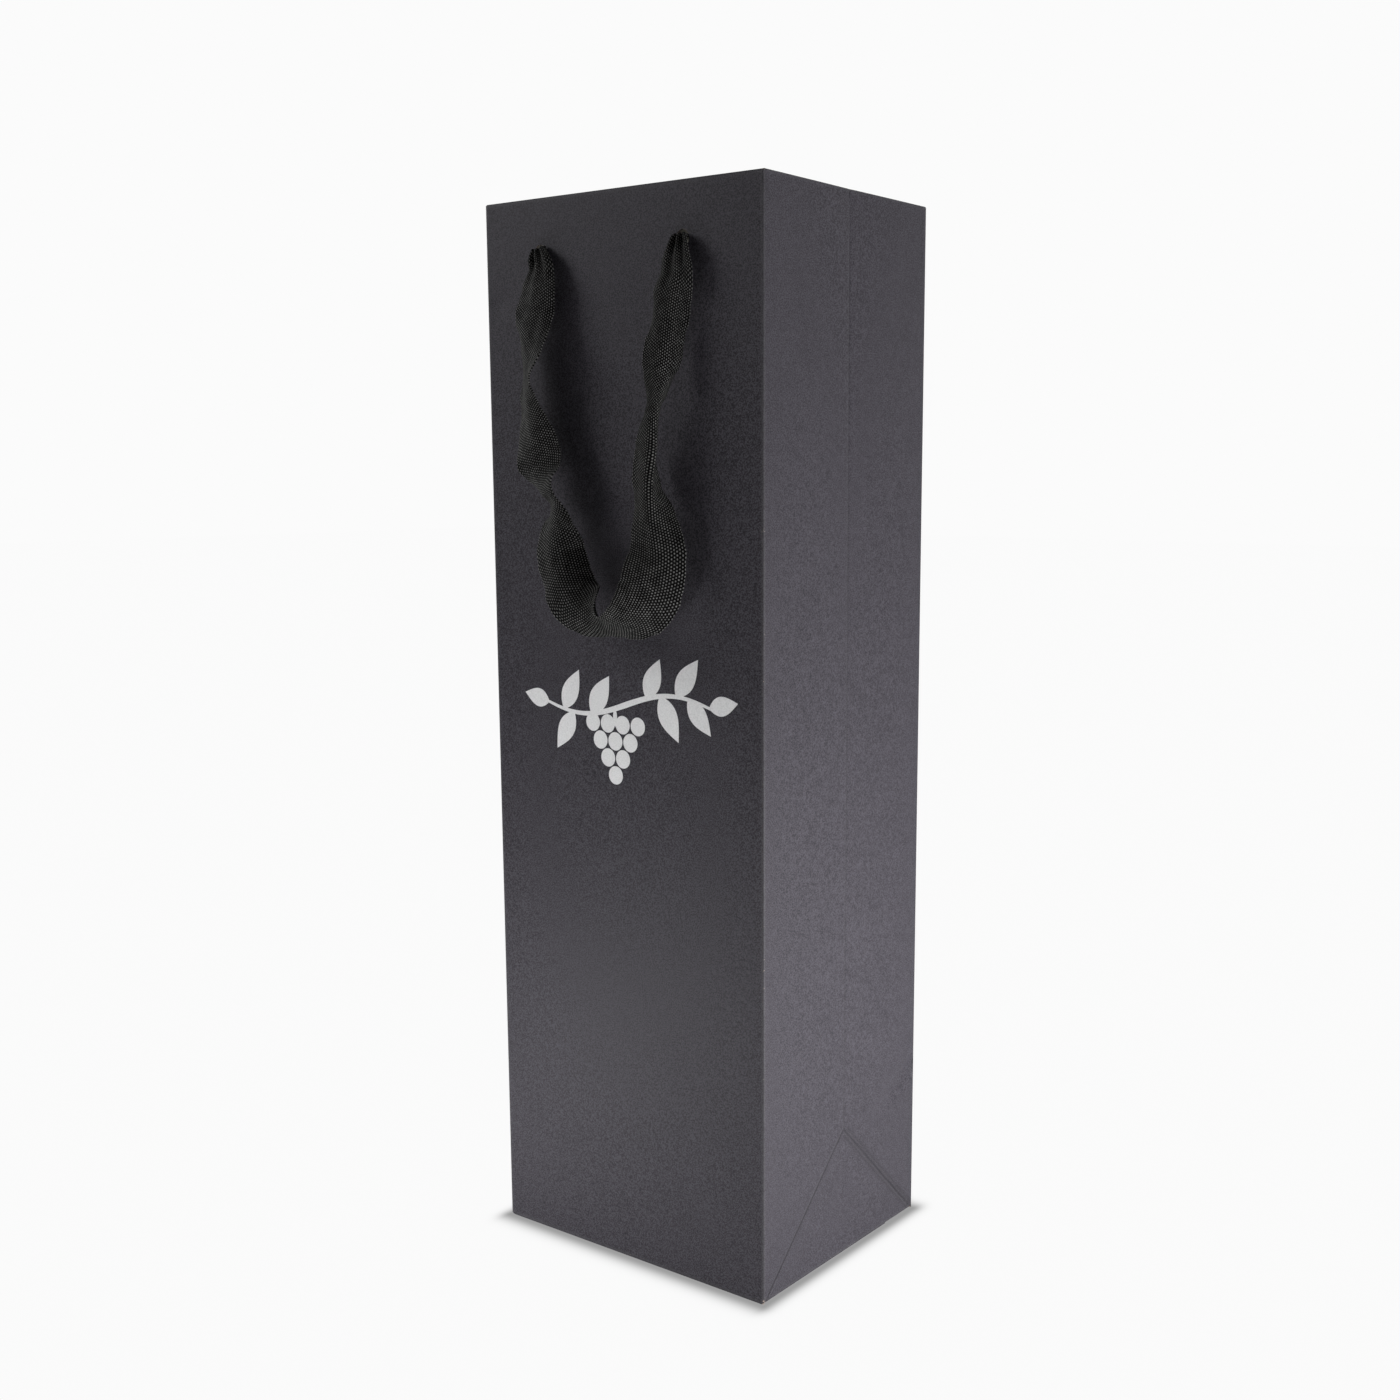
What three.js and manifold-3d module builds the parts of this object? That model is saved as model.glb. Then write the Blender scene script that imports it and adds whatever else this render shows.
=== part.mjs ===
// A set-up paper gift bag for one wine bottle: two walls and two folding gussets of printed paper, a glued
// base with a stiffening card, a turned-in top hem over two strips of card, and two ribbon handles that are
// threaded through punched holes and knotted inside.
// Millimetres. +Z is up, the front wall faces -Y, and the origin is the middle of the face the bag stands on.

import * as THREE from "three";
import { mergeVertices } from "three/addons/utils/BufferGeometryUtils.js";
import Module from "manifold-3d";

const wasm = await Module();
wasm.setup();

// Driving dimensions
const WIDTH = 120; // across the front wall
const DEPTH = 95; // from the front wall's outer face to the back wall's
const HEIGHT = 370; // from the table to the folded top edge
const PAPER = 0.4; // thickness of the bag's sheet
const STIFFENER_CARD = 0.8; // thickness of the card strips at the handle holes
const BASE_CARD = 1.2; // thickness of the loose-cut card on the bag's floor
const GLUE = 0.05; // glue line between two stuck sheets
const CREASE_GAP = 0.3; // room between two panels that fold about the same crease
const CORNER_GAP = 0.7; // a gusset panel folds in behind a wall, so it starts this far inside it
const CREASE_Z = 0.6; // height of the creases that the walls and gussets turn about at the base

const HEM = 40; // how far the top edge is turned in
const STIFFENER_HEIGHT = 34;
const STIFFENER_SIDE_MARGIN = 5;

const HOLE_RADIUS = 3;
const HOLE_SPACING = 62;
const HOLE_SHIFT = -3; // the pair of holes is punched this far off the middle of the front wall
const HOLE_Z = HEIGHT - 18;

const RIBBON_THICKNESS = 1.2;
const RIBBON_STEPS = 72;
const NECK_RADIUS = 2.4; // the ribbon gathered up inside a hole
const KNOT_RADIUS = 5.5;
const KNOT_THICKNESS = 6.5;
const TAIL_WIDTH = 9;
const TAIL_LENGTH = 24;

const SEAM_TAB_WIDTH = 16;
const SEAM_TAB_FOOT = 24; // it stops short of the base, clear of the gusset that leans in beside it
const SEAM_TAB_HEM_GAP = 1;
const OUTER_FLAP_REACH = 78; // how far the outer base flap runs under the bag from the front
const INNER_FLAP_REACH = 62; // and the inner one from the back
const SIDE_FLAP_REACH = 34;
const BASE_CARD_MARGIN = 2.5; // from the base card's edge to the outer face of the bag

const INK = 0.1; // the printed film, drawn thick enough to be a solid
const PRINT_CENTRE = { x: 2, z: 188 };

// Derived sizes
const halfWidth = WIDTH / 2;
const halfDepth = DEPTH / 2;
const holeXs = { left: HOLE_SHIFT - HOLE_SPACING / 2, right: HOLE_SHIFT + HOLE_SPACING / 2 };
const holeInset = PAPER + GLUE + STIFFENER_CARD + GLUE + PAPER; // a wall, its card and its hem
const hemBottom = HEIGHT - HEM;
// The lower edges of the walls and gussets, each just above the base flap that it turns into.
const footOf = { front: CREASE_Z + 0.1, back: CREASE_Z + 0.55, side: CREASE_Z + 1.0 };

const printedPaper = new THREE.MeshStandardMaterial({ color: 0x3c3a40, roughness: 0.72, metalness: 0 });
const greyCard = new THREE.MeshStandardMaterial({ color: 0x9c958a, roughness: 0.9, metalness: 0 });
const ribbonCloth = new THREE.MeshStandardMaterial({ color: 0x1c1c1b, roughness: 0.85, metalness: 0 });
const paleInk = new THREE.MeshStandardMaterial({ color: 0xc9c9ca, roughness: 0.6, metalness: 0 });

const bag = new THREE.Group();
bag.name = "wine_gift_bag";

function addPiece(name, geometry, material) {
  const mesh = new THREE.Mesh(geometry, material);
  mesh.name = name;
  bag.add(mesh);
  return mesh;
}

// The three ways a flat sheet can lie, each as the world directions of its outline's x and y and of its thickness.
const X = new THREE.Vector3(1, 0, 0);
const Y = new THREE.Vector3(0, 1, 0);
const Z = new THREE.Vector3(0, 0, 1);
const LYING = new THREE.Matrix4().makeBasis(X, Y, Z);
const FACING_Y = new THREE.Matrix4().makeBasis(X, Z, Y.clone().negate());
const FACING_X = new THREE.Matrix4().makeBasis(Y, Z, X);

// A flat sheet cut to an outline, with round holes, lying in a plane whose lower side is at `from` along its normal.
function cutSheet(outline, thickness, plane, from, holes = []) {
  const shape = new THREE.Shape(outline.map(([u, v]) => new THREE.Vector2(u, v)));
  for (const [u, v] of holes) {
    const hole = new THREE.Path();
    hole.absarc(u, v, HOLE_RADIUS, 0, 2 * Math.PI, true);
    shape.holes.push(hole);
  }
  const geometry = new THREE.ExtrudeGeometry(shape, { depth: thickness, bevelEnabled: false, curveSegments: 16 });
  geometry.applyMatrix4(plane);
  if (plane === FACING_Y) geometry.translate(0, from + thickness, 0);
  if (plane === FACING_X) geometry.translate(from, 0, 0);
  if (plane === LYING) geometry.translate(0, 0, from);
  return geometry;
}

const rectangle = (left, right, bottom, top) => [
  [left, bottom],
  [right, bottom],
  [right, top],
  [left, top],
];

// A three.js geometry as a manifold-3d solid, and back, for the pieces that are joined from simpler ones.
function toSolid(geometry) {
  const bare = new THREE.BufferGeometry().setAttribute("position", geometry.getAttribute("position"));
  if (geometry.index) bare.setIndex(geometry.index);
  const merged = mergeVertices(bare, 1e-4);
  return new wasm.Manifold(
    new wasm.Mesh({
      numProp: 3,
      vertProperties: merged.getAttribute("position").array,
      triVerts: new Uint32Array(merged.index.array),
    }),
  );
}

function toGeometry(solid) {
  const mesh = solid.getMesh();
  const geometry = new THREE.BufferGeometry();
  geometry.setAttribute("position", new THREE.BufferAttribute(new Float32Array(mesh.vertProperties), 3));
  geometry.setIndex(new THREE.BufferAttribute(new Uint32Array(mesh.triVerts), 1));
  geometry.computeVertexNormals();
  return geometry;
}

const joined = (geometries) => toGeometry(geometries.map(toSolid).reduce((a, b) => a.add(b)));

// Front and back walls, each with its hem and card strip. `side` is -1 at the front and 1 at the back, and a
// layer's depth is counted inwards from the wall's outer face.
function layerFrom(side, depthIn, thickness) {
  return side < 0 ? -halfDepth + depthIn : halfDepth - depthIn - thickness;
}

function makeWall(end, side) {
  // The back wall is the front one turned half round, and so are its holes.
  const holes = [
    [-side * holeXs.left, HOLE_Z],
    [-side * holeXs.right, HOLE_Z],
  ];
  const wall = rectangle(-halfWidth, halfWidth, footOf[end], HEIGHT);
  addPiece(`${end}_wall`, cutSheet(wall, PAPER, FACING_Y, layerFrom(side, 0, PAPER), holes), printedPaper);

  const cardDepth = PAPER + GLUE;
  const cardTop = HEIGHT - PAPER - GLUE;
  const card = rectangle(
    -halfWidth + STIFFENER_SIDE_MARGIN,
    halfWidth - STIFFENER_SIDE_MARGIN,
    cardTop - STIFFENER_HEIGHT,
    cardTop,
  );
  addPiece(
    `${end}_stiffener`,
    cutSheet(card, STIFFENER_CARD, FACING_Y, layerFrom(side, cardDepth, STIFFENER_CARD), holes),
    greyCard,
  );

  // The hem hangs inside the card and turns over its top to meet the wall.
  const hemDepth = cardDepth + STIFFENER_CARD + GLUE;
  const sideways = halfWidth - PAPER - CREASE_GAP;
  const hem = cutSheet(
    rectangle(-sideways, sideways, hemBottom, HEIGHT),
    PAPER,
    FACING_Y,
    layerFrom(side, hemDepth, PAPER),
    holes,
  );
  const fold = cutSheet(
    rectangle(-sideways, sideways, HEIGHT - PAPER, HEIGHT),
    hemDepth + PAPER - cardDepth,
    FACING_Y,
    layerFrom(side, cardDepth, hemDepth + PAPER - cardDepth),
  );
  addPiece(`${end}_hem`, joined([hem, fold]), printedPaper);
}

// A gusset is three panels in one plane while the bag is open: a tall triangle that stands on the base and
// leans in as the mouth closes, and a long fold on each side of it that turns in behind its wall. They meet
// along straight creases from the bottom corners to the middle of the top edge.
function creaseY(z) {
  // Half the triangle's width at a height.
  return (halfDepth - PAPER / 2) * (1 - (z - CREASE_Z) / (HEIGHT - CREASE_Z));
}

const slant = Math.hypot(1, (halfDepth - PAPER / 2) / (HEIGHT - CREASE_Z)); // sideways length of one unit of gap
const halfGap = (CREASE_GAP / 2) * slant;

function makeGusset(hand, side) {
  const foot = footOf.side;
  const outer = side < 0 ? -halfWidth : halfWidth - PAPER;
  const inner = side < 0 ? outer + PAPER + GLUE : outer - PAPER - GLUE;
  const tip = HEIGHT - (halfGap / (halfDepth - PAPER / 2)) * (HEIGHT - CREASE_Z);

  const triangle = [
    [-creaseY(foot) + halfGap, foot],
    [creaseY(foot) - halfGap, foot],
    [0, tip],
  ];
  addPiece(`${hand}_gusset_center`, cutSheet(triangle, PAPER, FACING_X, outer), printedPaper);
  const hemTriangle = [
    [-creaseY(hemBottom) + halfGap, hemBottom],
    [creaseY(hemBottom) - halfGap, hemBottom],
    [0, tip],
  ];
  addPiece(`${hand}_gusset_center_hem`, cutSheet(hemTriangle, PAPER, FACING_X, inner), printedPaper);

  for (const [end, way] of [
    ["front", -1],
    ["back", 1],
  ]) {
    const corner = halfDepth - PAPER - CORNER_GAP;
    const heightAtCorner = CREASE_Z + (HEIGHT - CREASE_Z) * (1 - (corner - halfGap) / (halfDepth - PAPER / 2));
    const fold = [
      [way * corner, Math.max(foot, heightAtCorner)],
      [way * corner, HEIGHT],
      [way * halfGap, HEIGHT],
    ];
    addPiece(`${hand}_${end}_fold`, cutSheet(orient(fold), PAPER, FACING_X, outer), printedPaper);
    const hemCorner = halfDepth - holeInset - CORNER_GAP;
    const foldHem = [
      [way * hemCorner, hemBottom],
      [way * hemCorner, HEIGHT],
      [way * halfGap, HEIGHT],
      [way * (creaseY(hemBottom) + halfGap), hemBottom],
    ];
    addPiece(`${hand}_${end}_fold_hem`, cutSheet(orient(foldHem), PAPER, FACING_X, inner), printedPaper);
  }
}

// An outline's points in anticlockwise order.
function orient(points) {
  const area = THREE.ShapeUtils.area(points.map(([u, v]) => new THREE.Vector2(u, v)));
  return area < 0 ? [...points].reverse() : points;
}

// The base: side flaps folded in first, then the back flap, then the front flap outermost, all glued, and a
// card laid on them inside the bag.
function makeBase() {
  const side = halfWidth - PAPER;
  const outerFlap = rectangle(-halfWidth, halfWidth, -halfDepth, -halfDepth + OUTER_FLAP_REACH);
  addPiece("base_front_flap", cutSheet(outerFlap, PAPER, LYING, 0), printedPaper);

  const innerZ = PAPER + GLUE;
  const innerFlap = rectangle(-side, side, halfDepth - INNER_FLAP_REACH, halfDepth);
  addPiece("base_back_flap", cutSheet(innerFlap, PAPER, LYING, innerZ), printedPaper);

  // Each side flap has mitred ends, because the bag's corners fold under at 45 degrees.
  const sideZ = innerZ + PAPER + GLUE;
  const end = halfDepth - PAPER - CREASE_GAP;
  const mitre = SIDE_FLAP_REACH;
  for (const [hand, way] of [
    ["left", -1],
    ["right", 1],
  ]) {
    const flap = [
      [way * halfWidth, -end],
      [way * halfWidth, end],
      [way * (halfWidth - mitre), end - mitre],
      [way * (halfWidth - mitre), -end + mitre],
    ];
    addPiece(`base_${hand}_flap`, cutSheet(orient(flap), PAPER, LYING, sideZ), printedPaper);
  }

  const cardZ = sideZ + PAPER + CREASE_GAP;
  const card = rectangle(
    -halfWidth + BASE_CARD_MARGIN,
    halfWidth - BASE_CARD_MARGIN,
    -halfDepth + BASE_CARD_MARGIN,
    halfDepth - BASE_CARD_MARGIN,
  );
  addPiece("base_card", cutSheet(card, BASE_CARD, LYING, cardZ), greyCard);
}

// The glue tab that closes the sheet into a tube, stuck inside the back wall beside its left corner.
function makeSeamTab() {
  const left = -halfWidth + PAPER + CORNER_GAP;
  const tab = rectangle(left, left + SEAM_TAB_WIDTH, SEAM_TAB_FOOT, hemBottom - SEAM_TAB_HEM_GAP);
  const from = layerFrom(1, PAPER + GLUE, PAPER);
  addPiece("seam_tab", cutSheet(tab, PAPER, FACING_Y, from), printedPaper);
}

// A knot inside a hole: the gathered ribbon comes in through the wall as a neck and ends in a flattened ball.
function makeKnot(name, x, side) {
  const start = 0.7; // the neck stands this far out of the wall
  const knotFrom = holeInset + CREASE_GAP;
  const profile = [new THREE.Vector2(0, -start), new THREE.Vector2(NECK_RADIUS, -start)];
  const steps = 10;
  for (let i = 0; i <= steps; i += 1) {
    const turn = (i / steps) * Math.PI;
    const radius = Math.max(NECK_RADIUS * (1 - i / steps), KNOT_RADIUS * Math.sin(turn));
    profile.push(new THREE.Vector2(radius, knotFrom + (KNOT_THICKNESS * (1 - Math.cos(turn))) / 2));
  }
  const lathe = new THREE.LatheGeometry(profile, 20);
  if (side > 0) lathe.rotateZ(Math.PI);
  lathe.translate(x, side * halfDepth, HOLE_Z);
  addPiece(name, lathe, ribbonCloth);
}

// The cut end of the ribbon, hanging flat inside the bag from its knot.
function makeTail(name, x, side) {
  const top = HOLE_Z - KNOT_RADIUS - CREASE_GAP;
  const outline = rectangle(x - TAIL_WIDTH / 2, x + TAIL_WIDTH / 2, top - TAIL_LENGTH, top);
  const from = layerFrom(side, holeInset + KNOT_THICKNESS / 2, RIBBON_THICKNESS);
  addPiece(name, cutSheet(outline, RIBBON_THICKNESS, FACING_Y, from), ribbonCloth);
}

// A handle as it hangs, from its left hole to its right one. Each row is a place along the ribbon: x across
// the wall, the distance out of it, the height below the holes, the ribbon's width there, and how far it is
// turned about its own length in degrees (0 lies flat to the wall, 90 stands out from it).
const HANDLE_ROUTE = [
  [holeXs.left, 2.2, 0.3, 7, 0],
  [-33.0, 3.6, 3.6, 10, 0],
  [-31.0, 5.2, 9, 14.5, 4],
  [-32.0, 6.6, 17, 16.5, 14],
  [-33.4, 8.0, 28, 17, 34],
  [-33.2, 8.8, 39, 17, 46],
  [-32.6, 9.0, 48, 18, 26],
  [-28.4, 9.8, 64, 19, 0],
  [-25.4, 11.0, 76, 15, 20],
  [-20.8, 11.8, 85, 14, 30],
  [-17.8, 12.4, 99, 18, -14],
  [-12.6, 13.0, 111, 18, -24],
  [-4.6, 13.2, 119, 17, -6],
  [6.6, 13.2, 122, 17, 38],
  [16.6, 13.0, 119.4, 18, 38],
  [23.6, 12.8, 111.6, 19, 32],
  [27.0, 12.4, 98.6, 19, 24],
  [24.4, 12.0, 86.5, 16, 12],
  [20.8, 11.0, 76, 12, -16],
  [20.2, 10.0, 63, 11, -24],
  [20.4, 9.2, 49, 11, -30],
  [23.6, 8.4, 36, 12.5, -14],
  [26.4, 7.0, 24, 12, 0],
  [29.0, 5.6, 11.5, 12.5, 2],
  [28.9, 3.8, 4.2, 9, 0],
  [holeXs.right, 2.2, 0.3, 7, 0],
];

// The smooth curve through a column of numbers, at a place counted in rows.
function smoothed(rows, column, at) {
  const i = Math.min(Math.floor(at), rows.length - 2);
  const s = at - i;
  const [a, b, c, d] = [i - 1, i, i + 1, i + 2].map(
    (k) => rows[Math.min(Math.max(k, 0), rows.length - 1)][column],
  );
  return 0.5 * (2 * b + (c - a) * s + (2 * a - 5 * b + 4 * c - d) * s * s + (3 * b - a - 3 * c + d) * s * s * s);
}

function makeHandle(name, side) {
  const centre = (at) => {
    const [x, out, down] = [0, 1, 2].map((column) => smoothed(HANDLE_ROUTE, column, at));
    return new THREE.Vector3(x, -halfDepth - out, HOLE_Z - down);
  };
  const last = HANDLE_ROUTE.length - 1;
  const positions = [];
  const faces = [];
  for (let i = 0; i <= RIBBON_STEPS; i += 1) {
    const at = (i / RIBBON_STEPS) * last;
    const width = smoothed(HANDLE_ROUTE, 3, at);
    const turn = (smoothed(HANDLE_ROUTE, 4, at) * Math.PI) / 180;
    const along = centre(Math.min(at + 0.02, last)).sub(centre(Math.max(at - 0.02, 0))).normalize();
    const inward = new THREE.Vector3(-along.z, 0, along.x).normalize();
    const across = inward.multiplyScalar(Math.cos(turn)).add(Y.clone().multiplyScalar(-Math.sin(turn)));
    across.addScaledVector(along, -across.dot(along)).normalize();
    const face = new THREE.Vector3().crossVectors(along, across);
    for (const [u, v] of rectangle(-width / 2, width / 2, -RIBBON_THICKNESS / 2, RIBBON_THICKNESS / 2)) {
      positions.push(...centre(at).addScaledVector(across, u).addScaledVector(face, v).toArray());
    }
    if (i > 0) {
      const [before, here] = [4 * (i - 1), 4 * i];
      for (let k = 0; k < 4; k += 1) {
        const next = (k + 1) % 4;
        faces.push(before + k, before + next, here + next, before + k, here + next, here + k);
      }
    }
  }
  const end = 4 * RIBBON_STEPS;
  faces.push(0, 2, 1, 0, 3, 2, end, end + 1, end + 2, end, end + 2, end + 3);
  const band = new THREE.BufferGeometry();
  band.setAttribute("position", new THREE.Float32BufferAttribute(positions, 3));
  band.setIndex(faces);
  if (side > 0) band.rotateZ(Math.PI);
  addPiece(name, band.toNonIndexed(), ribbonCloth).geometry.computeVertexNormals();
}

// The print on the front wall: a plain vine sprig of a stem, pointed leaves and a bunch of round grapes.
const STEM_HALF = 37; // half the sprig's length
const STEM_WAVE = 4.5;
const STEM_WIDTH = 2.2;
const stemHeight = (u) => 13 + STEM_WAVE * Math.sin((u / STEM_HALF) * Math.PI * 0.9);

function filmOf(outline) {
  const placed = outline.map(([u, v]) => [u + PRINT_CENTRE.x, v + PRINT_CENTRE.z]);
  return cutSheet(orient(placed), INK, FACING_Y, -halfDepth - GLUE - INK);
}

function stemOutline() {
  const steps = 28;
  const upper = [];
  const lower = [];
  for (let i = 0; i <= steps; i += 1) {
    const u = -STEM_HALF + (2 * STEM_HALF * i) / steps;
    const half = (STEM_WIDTH / 2) * (1 - 0.55 * Math.abs(u / STEM_HALF));
    upper.push([u, stemHeight(u) + half]);
    lower.push([u, stemHeight(u) - half]);
  }
  return [...lower, ...upper.reverse()];
}

// A leaf is two arcs of the same bulge that meet in a point, growing from the stem at an angle.
function leafOutline(u, angle, length, width) {
  const steps = 14;
  const root = [u, stemHeight(u)];
  const points = [];
  for (let i = 0; i < 2 * steps; i += 1) {
    const along = i < steps ? i / steps : 2 - i / steps;
    const across = ((i < steps ? -1 : 1) * width * Math.sin(Math.PI * along ** 0.8)) / 2;
    const reach = along * length;
    points.push([
      root[0] + reach * Math.cos(angle) - across * Math.sin(angle),
      root[1] + reach * Math.sin(angle) + across * Math.cos(angle),
    ]);
  }
  return points;
}

function grapeOutline(u, v, radius) {
  const steps = 28;
  return Array.from({ length: steps }, (_, i) => {
    const turn = (2 * Math.PI * i) / steps;
    return [u + radius * Math.cos(turn), v + radius * Math.sin(turn)];
  });
}

function makePrint() {
  const films = [filmOf(stemOutline())];
  const leaves = [
    // place along the stem, angle in degrees, length and width
    [-36, 168, 12, 6.5],
    [-29, 62, 16, 7.5],
    [-24, -122, 16, 7.5],
    [-16, 58, 16, 8],
    [15, -62, 17, 8],
    [9, 66, 15, 7.5],
    [22, 54, 16, 7.5],
    [27, -50, 15, 7],
    [36, 12, 12, 6.5],
    [-5, -90, 6.5, 1.8], // the bunch's stalk
  ];
  for (const [u, degrees, length, width] of leaves) {
    films.push(filmOf(leafOutline(u, (degrees * Math.PI) / 180, length, width)));
  }
  const grape = 3.5;
  const pitch = 6.8;
  const topRow = 5.9;
  for (let row = 0; row < 4; row += 1) {
    for (let i = 0; i < 4 - row; i += 1) {
      const u = -5 + (i - (3 - row) / 2) * pitch;
      films.push(filmOf(grapeOutline(u, topRow - row * pitch * 0.87, grape)));
    }
  }
  addPiece("front_print", joined(films), paleInk);
}

makeBase();
for (const [end, side] of [
  ["front", -1],
  ["back", 1],
]) {
  makeWall(end, side);
  makeHandle(`${end}_handle`, side);
  for (const hand of ["left", "right"]) {
    makeKnot(`${end}_${hand}_knot`, -side * holeXs[hand], side);
    makeTail(`${end}_${hand}_tail`, -side * holeXs[hand], side);
  }
}
makeGusset("left", -1);
makeGusset("right", 1);
makeSeamTab();
makePrint();

export default bag;
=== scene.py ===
# %% [markdown]
# # A paper gift bag for one bottle
# The bag is folded from one printed sheet: two walls, two gussets that tuck in when the mouth is pinched, a
# glued base with a card in it, a hem turned in over strips of card, and two ribbon handles that go through
# punched holes to knots inside. The frame that is loaded here holds every size and every hinge, so this
# script only gives each piece its fine surface and its finish.

# %% Load the frame
import math

import bmesh
import bpy
import numpy as np
from mathutils import Matrix, Vector


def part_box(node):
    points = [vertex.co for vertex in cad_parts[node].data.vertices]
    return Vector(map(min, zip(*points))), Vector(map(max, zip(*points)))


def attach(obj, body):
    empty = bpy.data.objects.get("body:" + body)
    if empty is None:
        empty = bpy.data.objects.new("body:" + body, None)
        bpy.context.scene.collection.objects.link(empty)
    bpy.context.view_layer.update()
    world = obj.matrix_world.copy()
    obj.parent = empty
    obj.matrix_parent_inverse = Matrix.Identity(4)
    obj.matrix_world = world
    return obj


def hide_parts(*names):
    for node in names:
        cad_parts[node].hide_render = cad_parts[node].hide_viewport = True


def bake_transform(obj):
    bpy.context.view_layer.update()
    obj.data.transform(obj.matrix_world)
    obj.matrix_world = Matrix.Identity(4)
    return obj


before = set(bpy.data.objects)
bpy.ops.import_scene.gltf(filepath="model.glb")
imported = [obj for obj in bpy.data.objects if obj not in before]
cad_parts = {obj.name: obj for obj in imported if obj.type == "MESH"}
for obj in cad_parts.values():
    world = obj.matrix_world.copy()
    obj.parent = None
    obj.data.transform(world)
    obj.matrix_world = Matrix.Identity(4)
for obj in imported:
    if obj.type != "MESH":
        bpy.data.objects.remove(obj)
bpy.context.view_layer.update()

# %% [markdown]
# ## Sizes
# Everything is in metres. The outside of the bag is read from the frame's walls, so the sheets made below
# land exactly on them. Paper is drawn thinner than the frame's solids, which are thick enough to weigh.

# %% Sizes
MM = 0.001
wall_low, wall_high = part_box("front_wall")
HALF_WIDTH = wall_high.x
HALF_DEPTH = -wall_low.y
HEIGHT = wall_high.z
HEM_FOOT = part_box("front_hem")[0].z
PAPER = 0.35 * MM
CORNER = 0.7 * MM  # radius of the bag's upright edges and of its foot
WALL_FOLD = 0.85 * MM  # radius of the top edge, where the hem wraps a card
GUSSET_FOLD = 0.42 * MM  # and where it wraps nothing
LAYER = 0.45 * MM  # one glued flap lies this far above the one under it
FLAT_HALF = HALF_WIDTH - CORNER  # half a wall's width between its rounded edges
CREASE_FOOT = 0.6 * MM
CREASE_HALF = HALF_DEPTH - 0.2 * MM  # half the gusset's middle panel, at its foot
APEX = HALF_DEPTH  # height of the point where the foot's two 45 degree creases meet
print("bag", HALF_WIDTH * 2, HALF_DEPTH * 2, HEIGHT)

# %% [markdown]
# ## The camera
# A short portrait lens at a little under arm's length, standing off the bag's right front edge and above its
# middle. Its shift keeps the upright edges nearly parallel, as when a studio camera is levelled.

# %% Camera
camera_data = bpy.data.cameras.new("camera")
camera_data.lens = 42.88
camera_data.sensor_width = 36.0
camera_data.shift_x = -0.0471
camera_data.shift_y = 0.0357
camera_data.clip_start = 0.01
camera_data.clip_end = 50.0
camera = bpy.data.objects.new("camera", camera_data)
bpy.context.scene.collection.objects.link(camera)
camera.location = (0.3748, -0.4703, 0.2790)
TURN, TILT = math.radians(36.60), math.radians(-9.46)
camera.rotation_euler = (math.radians(90) + TILT, 0.0, TURN)
bpy.context.scene.camera = camera

# %% [markdown]
# ## Building nodes
# Materials here are made of many small nodes. One helper adds a node, sets what is a number and links what is
# another node's output, so that each finish below can be read from top to bottom. Effects that several
# finishes share are node groups with their own inputs and outputs.

# %% Node helpers
def put(tree, kind, values=None, **settings):
    """Adds a node. `values` maps an input's name or number to a value, or to the output that feeds it."""
    made = tree.nodes.new(kind)
    for key, value in settings.items():
        setattr(made, key, value)
    for key, value in (values or {}).items():
        if isinstance(value, bpy.types.NodeSocket):
            tree.links.new(value, made.inputs[key])
        else:
            made.inputs[key].default_value = value
    return made


def calc(tree, operation, *values):
    """The result of one Math node."""
    return put(tree, "ShaderNodeMath", dict(enumerate(values)), operation=operation).outputs[0]


def noise(tree, place, scale, detail):
    """The value of a noise texture."""
    return put(tree, "ShaderNodeTexNoise", {"Vector": place, "Scale": scale, "Detail": detail}).outputs[0]


def remap(tree, value, low, high, to_low=0.0, to_high=1.0):
    """A value's range from low to high, stretched to another range and held at its ends."""
    values = {0: value, 1: low, 2: high, 3: to_low, 4: to_high}
    return put(tree, "ShaderNodeMapRange", values).outputs[0]


def mix_colour(tree, factor, low, high):
    """A colour between two others."""
    made = put(tree, "ShaderNodeMix", {0: factor, 6: low, 7: high}, data_type="RGBA")
    return made.outputs[2]


def new_group(name, inputs, outputs):
    """An empty shader group with the named sockets, and its input and output nodes."""
    group = bpy.data.node_groups.new(name, "ShaderNodeTree")
    for label, kind, value in inputs:
        socket = group.interface.new_socket(label, in_out="INPUT", socket_type=kind)
        if value is not None:
            socket.default_value = value
    for label, kind in outputs:
        group.interface.new_socket(label, in_out="OUTPUT", socket_type=kind)
    return group, put(group, "NodeGroupInput"), put(group, "NodeGroupOutput")


FLOAT, VECTOR = "NodeSocketFloat", "NodeSocketVector"

# %% [markdown]
# ## Shared effects
# **Paper grain.** Coated paper has a fine tooth, felt marks a few millimetres across and a very slight cloudy
# tone. Three noises at those scales are enough, and both the tone and the bump come from them.

# %% Paper grain group
FELT_TO_TOOTH = 0.22  # the felt marks' scale as a share of the tooth's
CLOUD_SCALE = 22.0


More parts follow.
